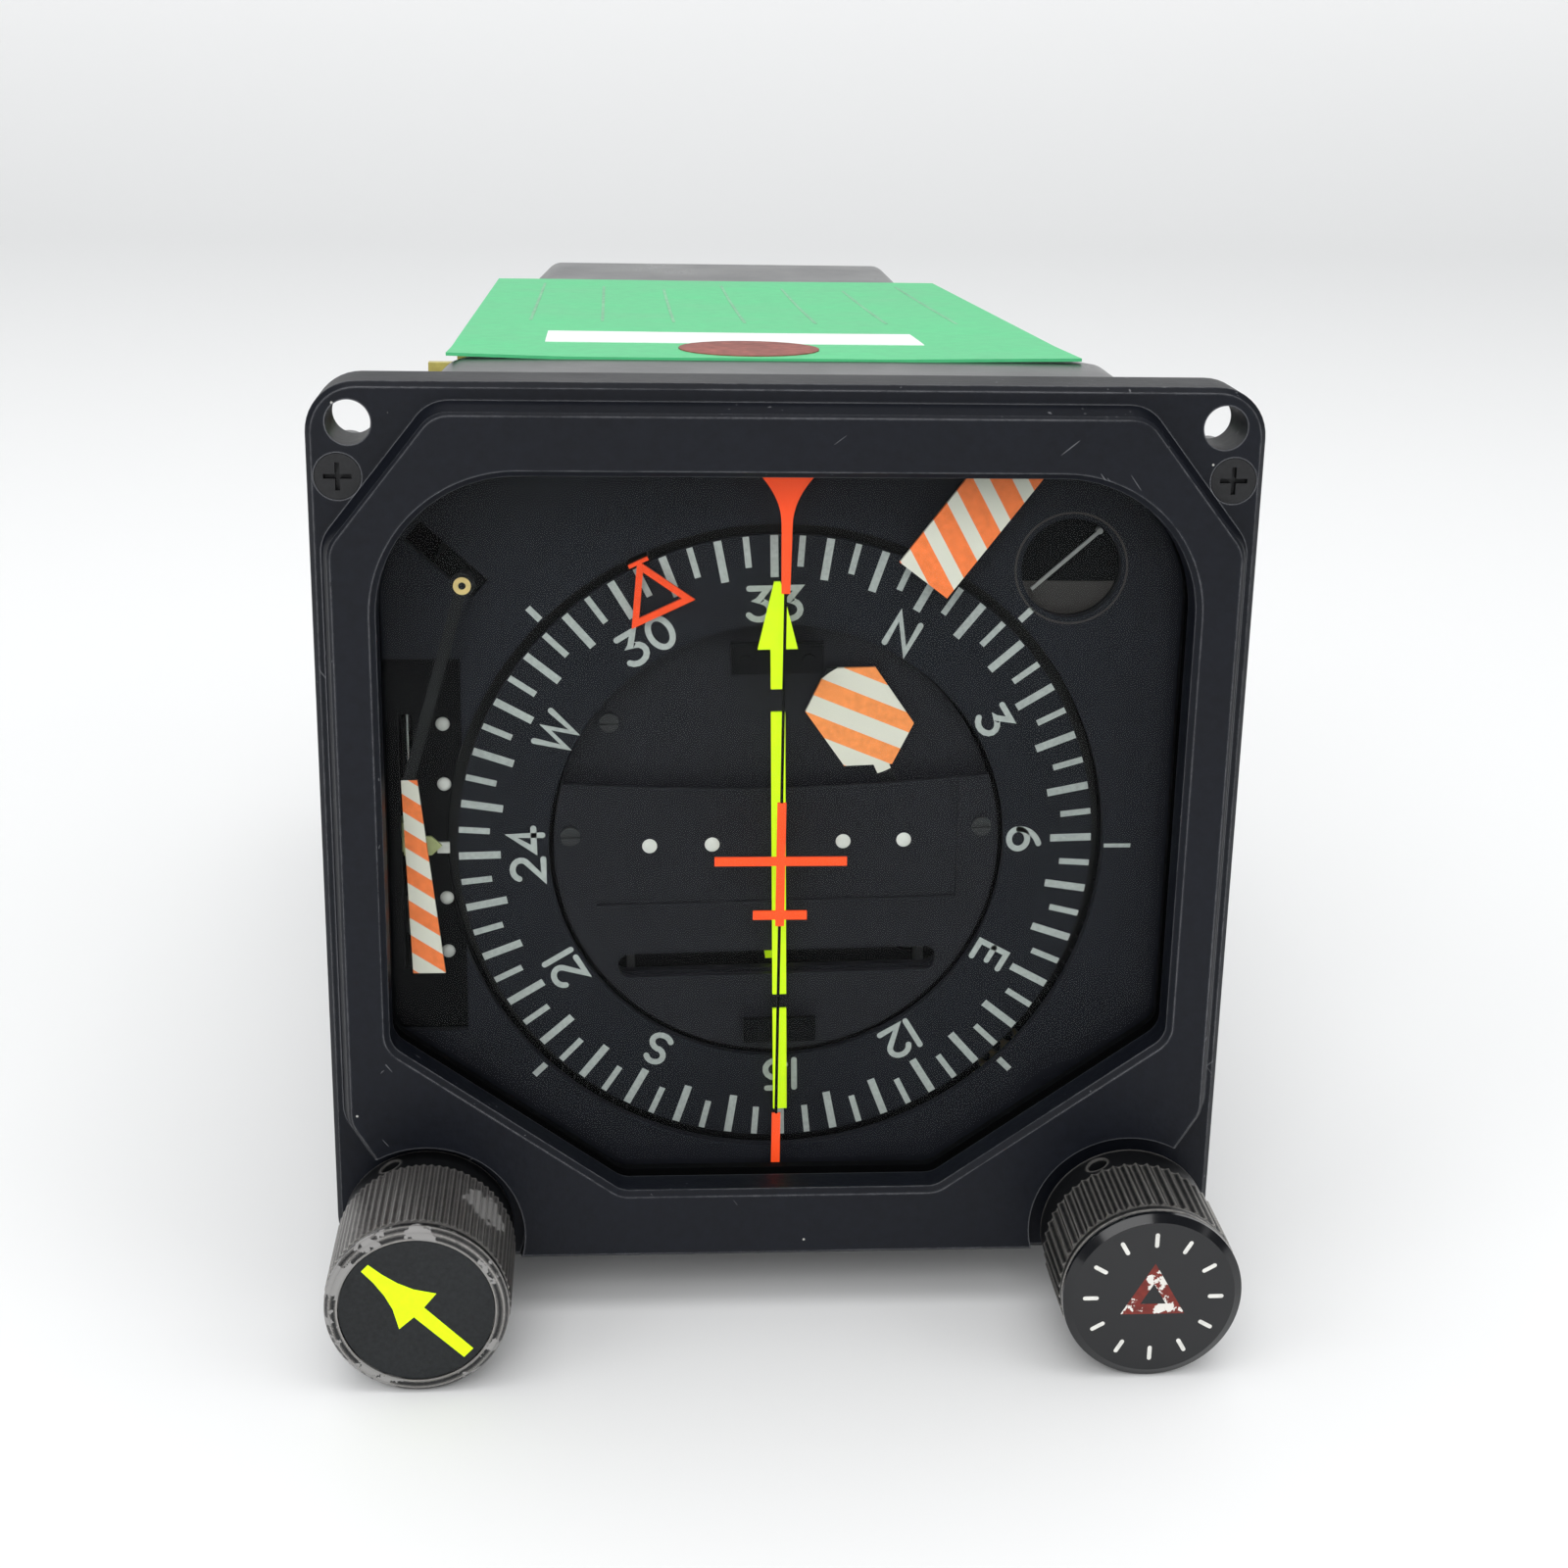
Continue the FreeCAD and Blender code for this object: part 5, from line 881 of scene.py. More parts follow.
@dataclass(frozen=True)
class ChippedFinish(Finish):
    """A worn paint with the metal bare on the front rim and in one chipped place."""

    metal: Colour = (0.27, 0.265, 0.26)
    bare: float = 0.47
    flake_scale: float = 330.0
    rim_depth: float = -22.0
    chip: Place = (-28.6, -14.4, -73.6)
    chip_reach: float = 2.5

    def make(self, effects: Effects) -> bpy.types.Material:
        """Build the material.

        Args:
            effects: the shared node groups.

        Returns:
            The worn material.
        """
        material = super().make(effects)
        tree = material.node_tree
        depth = self.place(tree, effects.depth, {"Edge": self.rim_depth})
        flakes = self.place(tree, effects.flakes, {"Scale": self.flake_scale, "Bare": self.bare})
        fore = Effects.maths(tree, "SUBTRACT", 1.0, depth.outputs["Behind"])
        rim = Effects.maths(tree, "MULTIPLY", fore, flakes.outputs["Mask"])
        centre = dict(zip(("X", "Y", "Z"), self.chip))
        near = self.place(tree, effects.patch, {**centre, "Reach": self.chip_reach})
        bare = Effects.maths(tree, "MAXIMUM", rim, near.outputs["Mask"])
        self.cover(tree, bare, self.metal)
        return material


@dataclass(frozen=True)
class GlassFinish:
    """Clear glass that lets the lamps through."""

    name: str = "clear_glass"
    tint: Colour = (0.93, 0.97, 0.96)
    bending: float = 1.12

    def make(self, effects: Effects) -> bpy.types.Material:
        """Build the material.

        Args:
            effects: the shared node groups, which clear glass doesn't use.

        Returns:
            The glass.
        """
        material = bpy.data.materials.new(self.name)
        material.use_nodes = True
        tree = material.node_tree
        shader = tree.nodes["Principled BSDF"]
        shader.inputs["Base Color"].default_value = (*self.tint, 1.0)
        shader.inputs["Roughness"].default_value = 0.0
        shader.inputs["Transmission Weight"].default_value = 1.0
        shader.inputs["IOR"].default_value = self.bending
        path = tree.nodes.new("ShaderNodeLightPath")
        clear = tree.nodes.new("ShaderNodeBsdfTransparent")
        mix = tree.nodes.new("ShaderNodeMixShader")
        out = tree.nodes["Material Output"]
        tree.links.new(path.outputs["Is Shadow Ray"], mix.inputs["Fac"])
        tree.links.new(shader.outputs[0], mix.inputs[1])
        tree.links.new(clear.outputs[0], mix.inputs[2])
        tree.links.new(mix.outputs[0], out.inputs["Surface"])
        return material


class Paint(Enum):
    """Every finish on the instrument: its name, colour and roughness come first."""

    BEZEL = Finish(
        "bezel_paint", (0.0048, 0.0062, 0.0106), 0.46, contrast=0.16, grain=1300.0, bump=0.3, wear=0.95,
        worn_colour=(0.2, 0.205, 0.22), dust=0.05, specular=0.22, scratches=0.5, edge_width=0.26,
    )
    CASE = Finish(
        "case_paint", (0.0085, 0.0097, 0.0128), 0.3, contrast=0.12, grain=900.0, bump=0.15, wear=0.3,
        worn_colour=(0.2, 0.2, 0.2), dust=0.04, specular=0.6, scratches=0.4,
    )
    MASK = Finish(
        "mask_paint", (0.0096, 0.0102, 0.0146), 0.62, grain=1800.0, bump=0.1, dust=0.03, specular=0.12,
    )
    CARD = Finish(
        "card_paint", (0.0082, 0.0088, 0.0126), 0.62, grain=1800.0, bump=0.1, dust=0.02, specular=0.12,
    )
    # Black paint inside the case; on the bug ring and the front bulkhead, which are bright metal, it is
    # painted shade.
    BLACK_PAINT_AND_SHADE = Finish("inner_black", (0.0022, 0.0024, 0.003), 0.7, specular=0.08)
    PLATE = Finish(
        "course_plate_paint", (0.0084, 0.0082, 0.0116), 0.5, contrast=0.12, grain=1400.0, bump=0.1,
        dust=0.02, specular=0.15,
    )
    PRINT = Finish("pale_print", (0.38, 0.4, 0.385), 0.65, contrast=0.14, grain=2500.0, specular=0.2)
    BEAD = Finish("white_bead", (0.66, 0.65, 0.61), 0.45, contrast=0.05)
    # The orange lubber paint and the lime paint carry painted glow of their own colour.
    ORANGE = Finish("orange_paint", (0.93, 0.075, 0.014), 0.5, contrast=0.08, specular=0.2, painted_glow=0.3)
    # The heading bug is orange at the front, with painted shade on its arms farther back behind the mask.
    BUG = DepthFinish("bug_paint", (0.93, 0.075, 0.014), 0.5, contrast=0.08, specular=0.2, edge=2.25)
    LIME = Finish("lime_paint", (0.6, 0.88, 0.006), 0.5, contrast=0.06, specular=0.2, painted_glow=0.3)
    PALE_LIME = Finish("faded_lime_paint", (0.5, 0.53, 0.24), 0.55)
    NEEDLE = Finish("needle_paint", (0.22, 0.22, 0.21))
    RUBBER = Finish("seal_rubber", (0.006, 0.006, 0.006), 0.8, specular=0.1)
    STEEL = Finish(
        "dull_screw_steel", (0.035, 0.036, 0.038), 0.42, metallic=0.6, contrast=0.3, grain=2400.0,
        bump=0.1, wear=0.4,
    )
    DIM_STEEL = Finish(
        "blackened_steel", (0.014, 0.0145, 0.016), 0.5, metallic=0.3, contrast=0.2, grain=2400.0,
    )
    BRIGHT = Finish("bright_steel", (0.55, 0.55, 0.55), 0.28, metallic=1.0)
    BRASS = Finish("machined_brass", (0.62, 0.46, 0.2), 0.32, metallic=1.0, contrast=0.12)
    GOLD = Finish("yellow_chromate", (0.55, 0.47, 0.13), 0.4, metallic=0.4, contrast=0.3, grain=700.0)
    ALLOY = Finish("plain_alloy", (0.5, 0.51, 0.52), 0.38, metallic=1.0)
    MOTOR = Finish("motor_enamel", (0.12, 0.125, 0.13), 0.4, metallic=0.3)
    SEGMENT = Finish("indicator_segment_paint", (0.026, 0.022, 0.021), 0.5, specular=0.3)
    BOARD = Finish("board_laminate", (0.02, 0.11, 0.04), 0.4, contrast=0.15)
    KNOB = Finish(
        "knob_black", (0.006, 0.0065, 0.0075), 0.42, contrast=0.15, grain=1200.0, bump=0.3, wear=1.25,
        worn_colour=(0.55, 0.53, 0.5), dust=0.05, specular=0.4, edge_width=0.5,
    )
    WORN_RIM = ChippedFinish(
        "worn_knob_rim", (0.006, 0.0065, 0.0075), 0.42, contrast=0.15, grain=1200.0, bump=0.3, wear=1.6,
        worn_colour=(0.5, 0.48, 0.46), dust=0.06, specular=0.4, edge_width=0.5,
    )
    KNOB_FACE = Finish(
        "knob_face_black", (0.012, 0.0138, 0.0155), 0.52, contrast=0.3, grain=2200.0, bump=0.4,
        specular=0.3, dust=0.2,
    )
    CAP = Finish("glossy_cap", (0.004, 0.0045, 0.006), 0.16, grain=900.0, coat=0.3, specular=0.4)
    RED = PatchyFinish(
        "red_fill", (0.15, 0.012, 0.006), 0.5, contrast=0.3, grain=1300.0, second=(0.75, 0.73, 0.68),
    )
    WHITE = Finish("white_fill", (0.68, 0.68, 0.64), 0.55, contrast=0.15)
    TAG = Finish("green_card", (0.08, 0.58, 0.235), 0.55, contrast=0.06, grain=700.0, bump=0.15)
    PATCH = Finish("brown_patch", (0.3, 0.09, 0.07), 0.7, contrast=0.3, grain=900.0)
    STRIP = Finish("white_strip", (0.86, 0.88, 0.87), 0.55, contrast=0.03)
    RULE = Finish("faint_rule", (0.2, 0.5, 0.29), 0.65, contrast=0.2)
    HDG = StripedFinish(
        "upper_flag_stripes", (0.95, 0.21, 0.055), 0.55, specular=0.2, angle=-61.0, start=0.1, pitch=3.15,
        share=0.42,
    )
    NAV = StripedFinish(
        "carriage_flag_stripes", (0.96, 0.3, 0.085), 0.55, specular=0.2, angle=-22.0, start=0.35, pitch=3.6,
        share=0.5, centre=(8.2, -30.4), reach=5.75,
    )
    GS = StripedFinish(
        "side_flag_stripes", (0.95, 0.22, 0.06), 0.55, specular=0.2, angle=-34.0, start=0.2, pitch=2.9,
        share=0.5, centre=(-33.5, -134.6), reach=100.0,
    )
    GLASS = GlassFinish()


NODE_PAINT = {
    Paint.BEZEL: ["bezel"],
    Paint.CASE: ["shoulder_frame", "case_cover", "rear_plate"],
    Paint.MASK: ["dial_mask"],
    Paint.CARD: ["compass_card"],
    Paint.PLATE: ["course_plate", "course_disc"],
    # bug_ring is bare metal and front_bulkhead gold chromate; both take this black as painted shade behind
    # the dial.
    Paint.BLACK_PAINT_AND_SHADE: ["glass_retainer", "card_drum", "slaving_meter", "arrow_clamps", "glideslope_scale",
                 "bug_ring", "front_bulkhead", "mask_posts", "flag_meters"],
    Paint.BUG: ["heading_bug"],
    Paint.ORANGE: ["lubber_strip"],
    Paint.TAG: ["service_tag"],
    Paint.LIME: ["course_pointer", "deviation_bar"],
    Paint.PALE_LIME: ["glideslope_pointer"],
    Paint.NEEDLE: ["slaving_needle"],
    Paint.RUBBER: ["window_seal"],
    Paint.STEEL: ["case_screws", "course_set_screw", "heading_set_screw"],
    Paint.DIM_STEEL: ["deviation_guide", "course_screws", "bezel_screws"],
    Paint.BRIGHT: ["glideslope_guide", "course_shaft", "course_knob_shaft",
                   "heading_knob_shaft", "main_bearing"],
    Paint.BRASS: ["card_gear", "course_gear", "course_layshaft", "heading_idler", "servo_pinion",
                  "push_collar", "knob_bushings"],
    Paint.GOLD: ["middle_bulkhead", "chassis_lug"],
    Paint.ALLOY: ["chassis_rods", "board_frame", "rear_connectors"],
    Paint.MOTOR: ["servo_motor", "course_resolver", "nav_flag_meter"],
    Paint.BOARD: ["circuit_boards"],
    Paint.KNOB: ["heading_knob"],
    Paint.WORN_RIM: ["course_knob"],
    Paint.KNOB_FACE: ["course_knob_face"],
    Paint.CAP: ["heading_knob_cap"],
    Paint.HDG: ["hdg_flag"],
    Paint.NAV: ["nav_flag"],
    Paint.GS: ["gs_flag"],
    Paint.GLASS: ["window_glass"],
}


class Workshop:
    """Holds the built materials."""

    def __init__(self) -> None:
        """Build every finish once."""
        self.effects = Effects()
        self.paints = {paint: paint.value.make(self.effects) for paint in Paint}

    def __getitem__(self, paint: Paint) -> bpy.types.Material:
        """The material of a finish."""
        return self.paints[paint]

    def dress_nodes(self) -> None:
        """Give every CAD node its finish."""
        for paint, nodes in NODE_PAINT.items():
            for node in nodes:
                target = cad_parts[node]
                target.data.materials.clear()
                target.data.materials.append(self.paints[paint])
                log.info("node %s in %s", node, paint.value.name)


@dataclass
class Lettering:
    """Round-ended stroke characters for the compass card."""

    height: float = 3.6
    stroke: float = 0.58
    gap: float = 0.95

    @staticmethod
    def strokes(character: str) -> Glyph:
        """A character's width and its strokes, for a height of one.

        Args:
            character: a figure or one of the four compass letters.

        Returns:
            The width, and each stroke's points with True where it is closed.
        """
        line = [(0.0, 0.0), (0.0, 1.0)]
        upper_six = arc(0.62, 0.34, 0.62, 0.66, 182, 108, 8)
        frame_of_e = [(0.5, 1.0), (0.0, 1.0), (0.0, 0.0), (0.5, 0.0)]
        lower_five = arc(0.24, 0.32, 0.3, 0.32, 118, -150)
        lower_three = arc(0.24, 0.3, 0.3, 0.3, 95, -150)
        upper_s = arc(0.26, 0.75, 0.24, 0.25, 35, 265)
        shapes: dict[str, Glyph] = {
            "0": (0.58, [(arc(0.29, 0.5, 0.29, 0.5, 0, 345, 23), True)]),
            "1": (0.0, [(line, False)]),
            "2": (0.56, [(arc(0.27, 0.72, 0.27, 0.28, 165, -35) + [(0.0, 0.0), (0.56, 0.0)], False)]),
            "3": (0.54, [([(0.0, 1.0), (0.5, 1.0), (0.22, 0.6)] + lower_three, False)]),
            "4": (0.62, [([(0.62, 0.28), (0.0, 0.28), (0.42, 1.0), (0.42, 0.0)], False)]),
            "5": (0.54, [([(0.5, 1.0), (0.1, 1.0), (0.06, 0.56)] + lower_five, False)]),
            "6": (0.56, [(arc(0.28, 0.3, 0.28, 0.3, 0, 345, 23), True), (upper_six, False)]),
            "N": (0.62, [([(0.0, 0.0), (0.0, 1.0), (0.62, 0.0), (0.62, 1.0)], False)]),
            "E": (0.5, [(frame_of_e, False), ([(0.0, 0.52), (0.42, 0.52)], False)]),
            "S": (0.52, [(upper_s + arc(0.26, 0.26, 0.27, 0.26, 85, -145), False)]),
            "W": (0.95, [([(0.0, 1.0), (0.24, 0.0), (0.475, 0.9), (0.71, 0.0), (0.95, 1.0)], False)]),
        }
        return shapes[character]

    def write(self, shape: Shape, text: str, centre: Point, degrees: float, near: float, far: float) -> None:
        """Add a word to a shape.

        Args:
            shape: the shape to add to.
            text: the characters.
            centre: the word's middle.
            degrees: how far it is turned anticlockwise.
            near: depth of its front.
            far: depth of its rear.
        """
        glyphs = [self.strokes(character) for character in text]
        whole = sum(width * self.height for width, _ in glyphs) + self.gap * (len(glyphs) - 1)
        cosine, sine = math.cos(math.radians(degrees)), math.sin(math.radians(degrees))
        start = -whole / 2
        for width, strokes in glyphs:
            for path, closed in strokes:
                placed = []
                for u, v in path:
                    x = start + u * self.height
                    z = (v - 0.5) * (self.height - self.stroke)
                    placed.append((centre[0] + x * cosine - z * sine, centre[1] + x * sine + z * cosine))
                shape.ribbon(placed, self.stroke, near, far, closed)
            start += width * self.height + self.gap


@dataclass
class CompassCard:
    """Marks printed on the turning card, whose heading stands a little off north."""

    turn: float = 1.53
    tick_step: float = 5.0
    label_step: float = 30.0
    outer: float = 30.97
    long_inner: float = 26.93
    short_inner: float = 27.99
    long_width: float = 0.75
    short_width: float = 0.6
    label_radius: float = 24.35
    print_height: float = 0.03
    labels: tuple[str, ...] = ("33", "N", "3", "6", "E", "12", "15", "S", "21", "24", "W", "30")
    lettering: Lettering = field(default_factory=Lettering)

    def build(self, shop: Workshop) -> None:
        """Build the tick marks and the figures."""
        near, rear = printed("compass_card", self.print_height)
        north = 90 + self.turn
        kinds = ((self.long_inner, self.long_width), (self.short_inner, self.short_width))
        ticks = Shape()
        for index in range(round(360 / self.tick_step)):
            inner, width = kinds[index % 2]
            radial_mark(ticks, north - self.tick_step * index, inner, self.outer, width, near, rear)
        ticks.build("card_ticks", shop[Paint.PRINT], "card", "card_black")
        words = Shape()
        for index, text in enumerate(self.labels):
            angle = north - self.label_step * index
            place = on_circle(self.label_radius, angle)
            self.lettering.write(words, text, place, angle - 90, near, rear)
        words.build("card_figures", shop[Paint.PRINT], "card", "card_black")


def radial_mark(
    shape: Shape, angle: float, inner: float, outer: float, width: float, near: float, far: float
) -> None:
    """Add a straight mark that points at the dial's centre.

    Args:
        shape: the shape to add to.
        angle: its direction from the centre.
        inner: distance of its inner end.
        outer: distance of its outer end.
        width: its width.
        near: depth of its front.
        far: depth of its rear.
    """
    aside = on_circle(width / 2, angle + 90, (0.0, 0.0))
    outline = []
    for radius, sign in ((inner, -1), (outer, -1), (outer, 1), (inner, 1)):
        x, z = on_circle(radius, angle)
        outline.append((x + sign * aside[0], z + sign * aside[1]))
    shape.prism(outline, near, far)


@dataclass
class DialMarks:
    """Marks on the fixed mask, the glideslope scale and the carriage."""

    mark_inner: float = 32.25
    short_outer: float = 33.9
    long_outer: float = 34.9
    mark_width: float = 0.62
    right_width: float = 0.4
    scale_x: float = -32.3
    scale_depth: float = 0.6
    scale_drops: tuple[float, ...] = (34.25, 40.3, 52.0, 57.6)
    bead_radius: float = 0.68
    bead_height: float = 0.45
    index_sides: Point = (-33.1, -31.9)
    index_drops: Point = (47.3, 46.2)
    index_height: float = 0.25
    recess_depth: float = 0.25
    dot_places: tuple[float, ...] = (-12.47, -6.35, 6.53, 12.52)
    dot_radius: float = 0.74
    dot_height: float = 0.16
    dot_rise: float = 0.05
    carriage_tilt: float = 1.24
    slaving: Point = (27.5, TOP_EDGE - 18.5)
    slaving_ring: Point = (5.25, 5.45)
    segment_radius: float = 4.9
    segment_start: float = 200.0
    segment_sweep: float = 140.0
    segment_depth: Point = (0.45, 0.6)
    eyelet_place: Point = (-29.8, TOP_EDGE - 19.4)
    eyelet_radii: Point = (0.35, 0.82)
    eyelet_height: float = 0.12
    eyelet_sink: float = 0.02

    def build(self, shop: Workshop) -> None:
        """Build every mark and bead."""
        self.mask_marks(shop)
        self.scale_beads(shop)
        self.carriage_dots(shop)
        self.slaving_indicator(shop)
        self.flag_eyelet(shop)

    def mask_marks(self, shop: Workshop) -> None:
        """Short diagonal marks and one long mark at the right, printed on the mask."""
        near, far = printed("dial_mask")
        marks = Shape()
        for angle in (45, 135, 225, 315):
            radial_mark(marks, angle, self.mark_inner, self.short_outer, self.mark_width, near, far)
        radial_mark(marks, 0, self.mark_inner, self.long_outer, self.right_width, near, far)
        marks.build("mask_marks", shop[Paint.PRINT], "housing", "card_black")

    def scale_beads(self, shop: Workshop) -> None:
        """Four beads and the centre index on the recessed scale."""
        base = front("glideslope_scale") + self.scale_depth + PRINT_SINK
        beads = Shape()
        for drop in self.scale_drops:
            beads.dome((self.scale_x, below(drop)), self.bead_radius, self.bead_height, base)
        low, high = (below(drop) for drop in self.index_drops)
        outline = rectangle(*self.index_sides, low, high)
        beads.prism(outline, base - PRINT_SINK - self.index_height, base)
        beads.build("scale_beads", shop[Paint.BEAD], "housing", "bar_pale")

    def carriage_dots(self, shop: Workshop) -> None:
        """Four dots in the carriage's recess."""
        base = front("course_plate") + self.recess_depth + PRINT_SINK
        dots = Shape()
        for x in self.dot_places:
            dots.dome((x, DIAL_Z + self.dot_rise), self.dot_radius, self.dot_height, base)
        dots.turn(self.carriage_tilt, (0.0, DIAL_Z))
        dots.build("deviation_dots", shop[Paint.BEAD], "course_carriage", "bar_pale")

    def slaving_indicator(self, shop: Workshop) -> None:
        """A thin ring round the small opening, and the dim segment inside."""
        ring = Shape().ring(self.slaving, self.slaving_ring, *printed("dial_mask"))
        ring.build("indicator_ring", shop[Paint.SEGMENT], "housing", "card_black")
        steps = 20
        outline = [
            on_circle(self.segment_radius, self.segment_start + self.segment_sweep * i / steps, self.slaving)
            for i in range(steps + 1)
        ]
        near, far = (front("slaving_needle") + depth for depth in self.segment_depth)
        segment = Shape().prism(outline, near, far)
        segment.build("indicator_segment", shop[Paint.SEGMENT], "housing", "inner_black")

    def flag_eyelet(self, shop: Workshop) -> None:
        """The eyelet on the side flag."""
        face = front("gs_flag")
        near, far = face - self.eyelet_height, face + self.eyelet_sink
        eyelet = Shape().ring(self.eyelet_place, self.eyelet_radii, near, far)
        eyelet.build("side_flag_eyelet", shop[Paint.BRASS], "gs_warning", "gear_brass")


def rectangle(x0: float, x1: float, z0: float, z1: float) -> list[Point]:
    """The corners of an upright rectangle."""
    return [(x0, z0), (x1, z0), (x1, z1), (x0, z1)]


@dataclass
class LubberStrip:
    """The orange marks on their thin black ribbon, standing for the CAD strip."""

    flare_half: float = 3.4
    stem_half: float = 0.5
    tip_drop: float = 19.9
    stem_drop: float = 13.55
    window_drop: float = 7.95
    flare_power: float = 2.1
    tip_share: float = 0.8
    line_half: float = 0.42
    body_drops: Point = (52.8, 40.3)
    wings: tuple[Point, ...] = ((46.2, 6.35), (51.7, 2.6))
    wing_height: float = 0.01
    foot_drops: Point = (79.1, 72.7)
    ribbon_half: float = 0.12
    ribbon_foot_drop: float = 79.0
    ribbon_depths: Point = (0.02, 0.8)
    thickness: float = 0.3

    def build(self, shop: Workshop) -> None:
        """Build the marks and the ribbon."""
        near = front("lubber_strip")
        far = near + self.thickness
        marks = Shape().prism(self.flare(), near, far)
        for low, high in (self.body_drops, self.foot_drops):
            marks.prism(rectangle(-self.line_half, self.line_half, below(low), below(high)), near, far)
        for drop, half in self.wings:
            bar = rectangle(-half, half, below(drop) - self.line_half, below(drop) + self.line_half)
            marks.prism(bar, near - self.wing_height, far)
        piece = marks.build("lubber_marks", shop[Paint.ORANGE], "housing", "strip_orange")
        low, high = below(self.ribbon_foot_drop), below(self.tip_drop - 1)
        outline = rectangle(-self.ribbon_half, self.ribbon_half, low, high)
        ribbon = Shape().prism(outline, *(near + depth for depth in self.ribbon_depths))
        strip = ribbon.build("lubber_ribbon", shop[Paint.BLACK_PAINT_AND_SHADE], "housing", "inner_black")
        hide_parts("lubber_strip")
        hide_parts("lubber_strip")

    def flare(self) -> list[Point]:
        """The outline of the upper mark, wide at the window's edge and narrow below.

        Returns:
            Its corners in order.
        """
        edge, stem = below(self.window_drop), below(self.stem_drop)
        right = [(self.flare_half, top("lubber_strip"))]
        steps = 12
        for i in range(steps + 1):
            share = i / steps
            spread = (self.flare_half - self.stem_half) * (1 - share) ** self.flare_power
            right.append((self.stem_half + spread, edge + (stem - edge) * share))
        right.append((self.stem_half * self.tip_share, below(self.tip_drop)))
        return right + [(-x, z) for x, z in reversed(right)]


@dataclass
class KnobMarks:
    """The arrow on the left knob, and the triangle and ticks on the right."""

    arrow_tip: float = 6.35
    arrow_tail: Point = (-6.45, 0.62)
    arrow_flare: tuple[Point, ...] = (
        (0.0, 0.46), (1.6, 0.58), (3.2, 0.88), (4.7, 1.4), (6.5, 2.5), (6.65, 0.68)
    )
    arrow_angle: float = 136.0
    triangle_radius: float = 2.45
    triangle_width: float = 1.05
    tick_radii: Point = (5.35, 6.45)
    tick_width: float = 0.4
    tick_count: int = 12

    def build(self, shop: Workshop) -> None:
        """Build both knobs' marks."""
        centre = middle("course_knob_face")
        near, far = printed("course_knob_face")
        side = [(self.arrow_tip - drop, half) for drop, half in self.arrow_flare] + [self.arrow_tail]
        arrow = side + [(x, -z) for x, z in reversed(side)]
        shape = Shape().prism([(centre[0] + x, centre[1] + z) for x, z in arrow], near, far)
        shape.turn(self.arrow_angle, centre)
        shape.build("course_knob_arrow", shop[Paint.LIME], "course_setting", "pointer_lime")
        centre = middle("heading_knob_cap")
        near, far = printed("heading_knob_cap")
        corners = [on_circle(self.triangle_radius, 90 + 120 * i, centre) for i in range(3)]
        triangle = Shape().ribbon(corners, self.triangle_width, near, far, closed=True)
        triangle.build("heading_knob_triangle", shop[Paint.RED], "heading_setting", "bug_orange")
        ticks = Shape()
        for index in range(self.tick_count):
            angle = 360.0 * index / self.tick_count
            ends = [on_circle(radius, angle, centre) for radius in self.tick_radii]
            ticks.ribbon(ends, self.tick_width, near, far)
        ticks.build("heading_knob_ticks", shop[Paint.WHITE], "heading_setting", "bar_pale")


@dataclass(frozen=True)
class Sheet:
    """A thin sheet on the tag: its sides, its height over the tag and its cells."""

    name: str
    across: Point
    along: Point
    rise: float
    thickness: float
    paint: Paint
    slot: str
    cells: tuple[int, int]


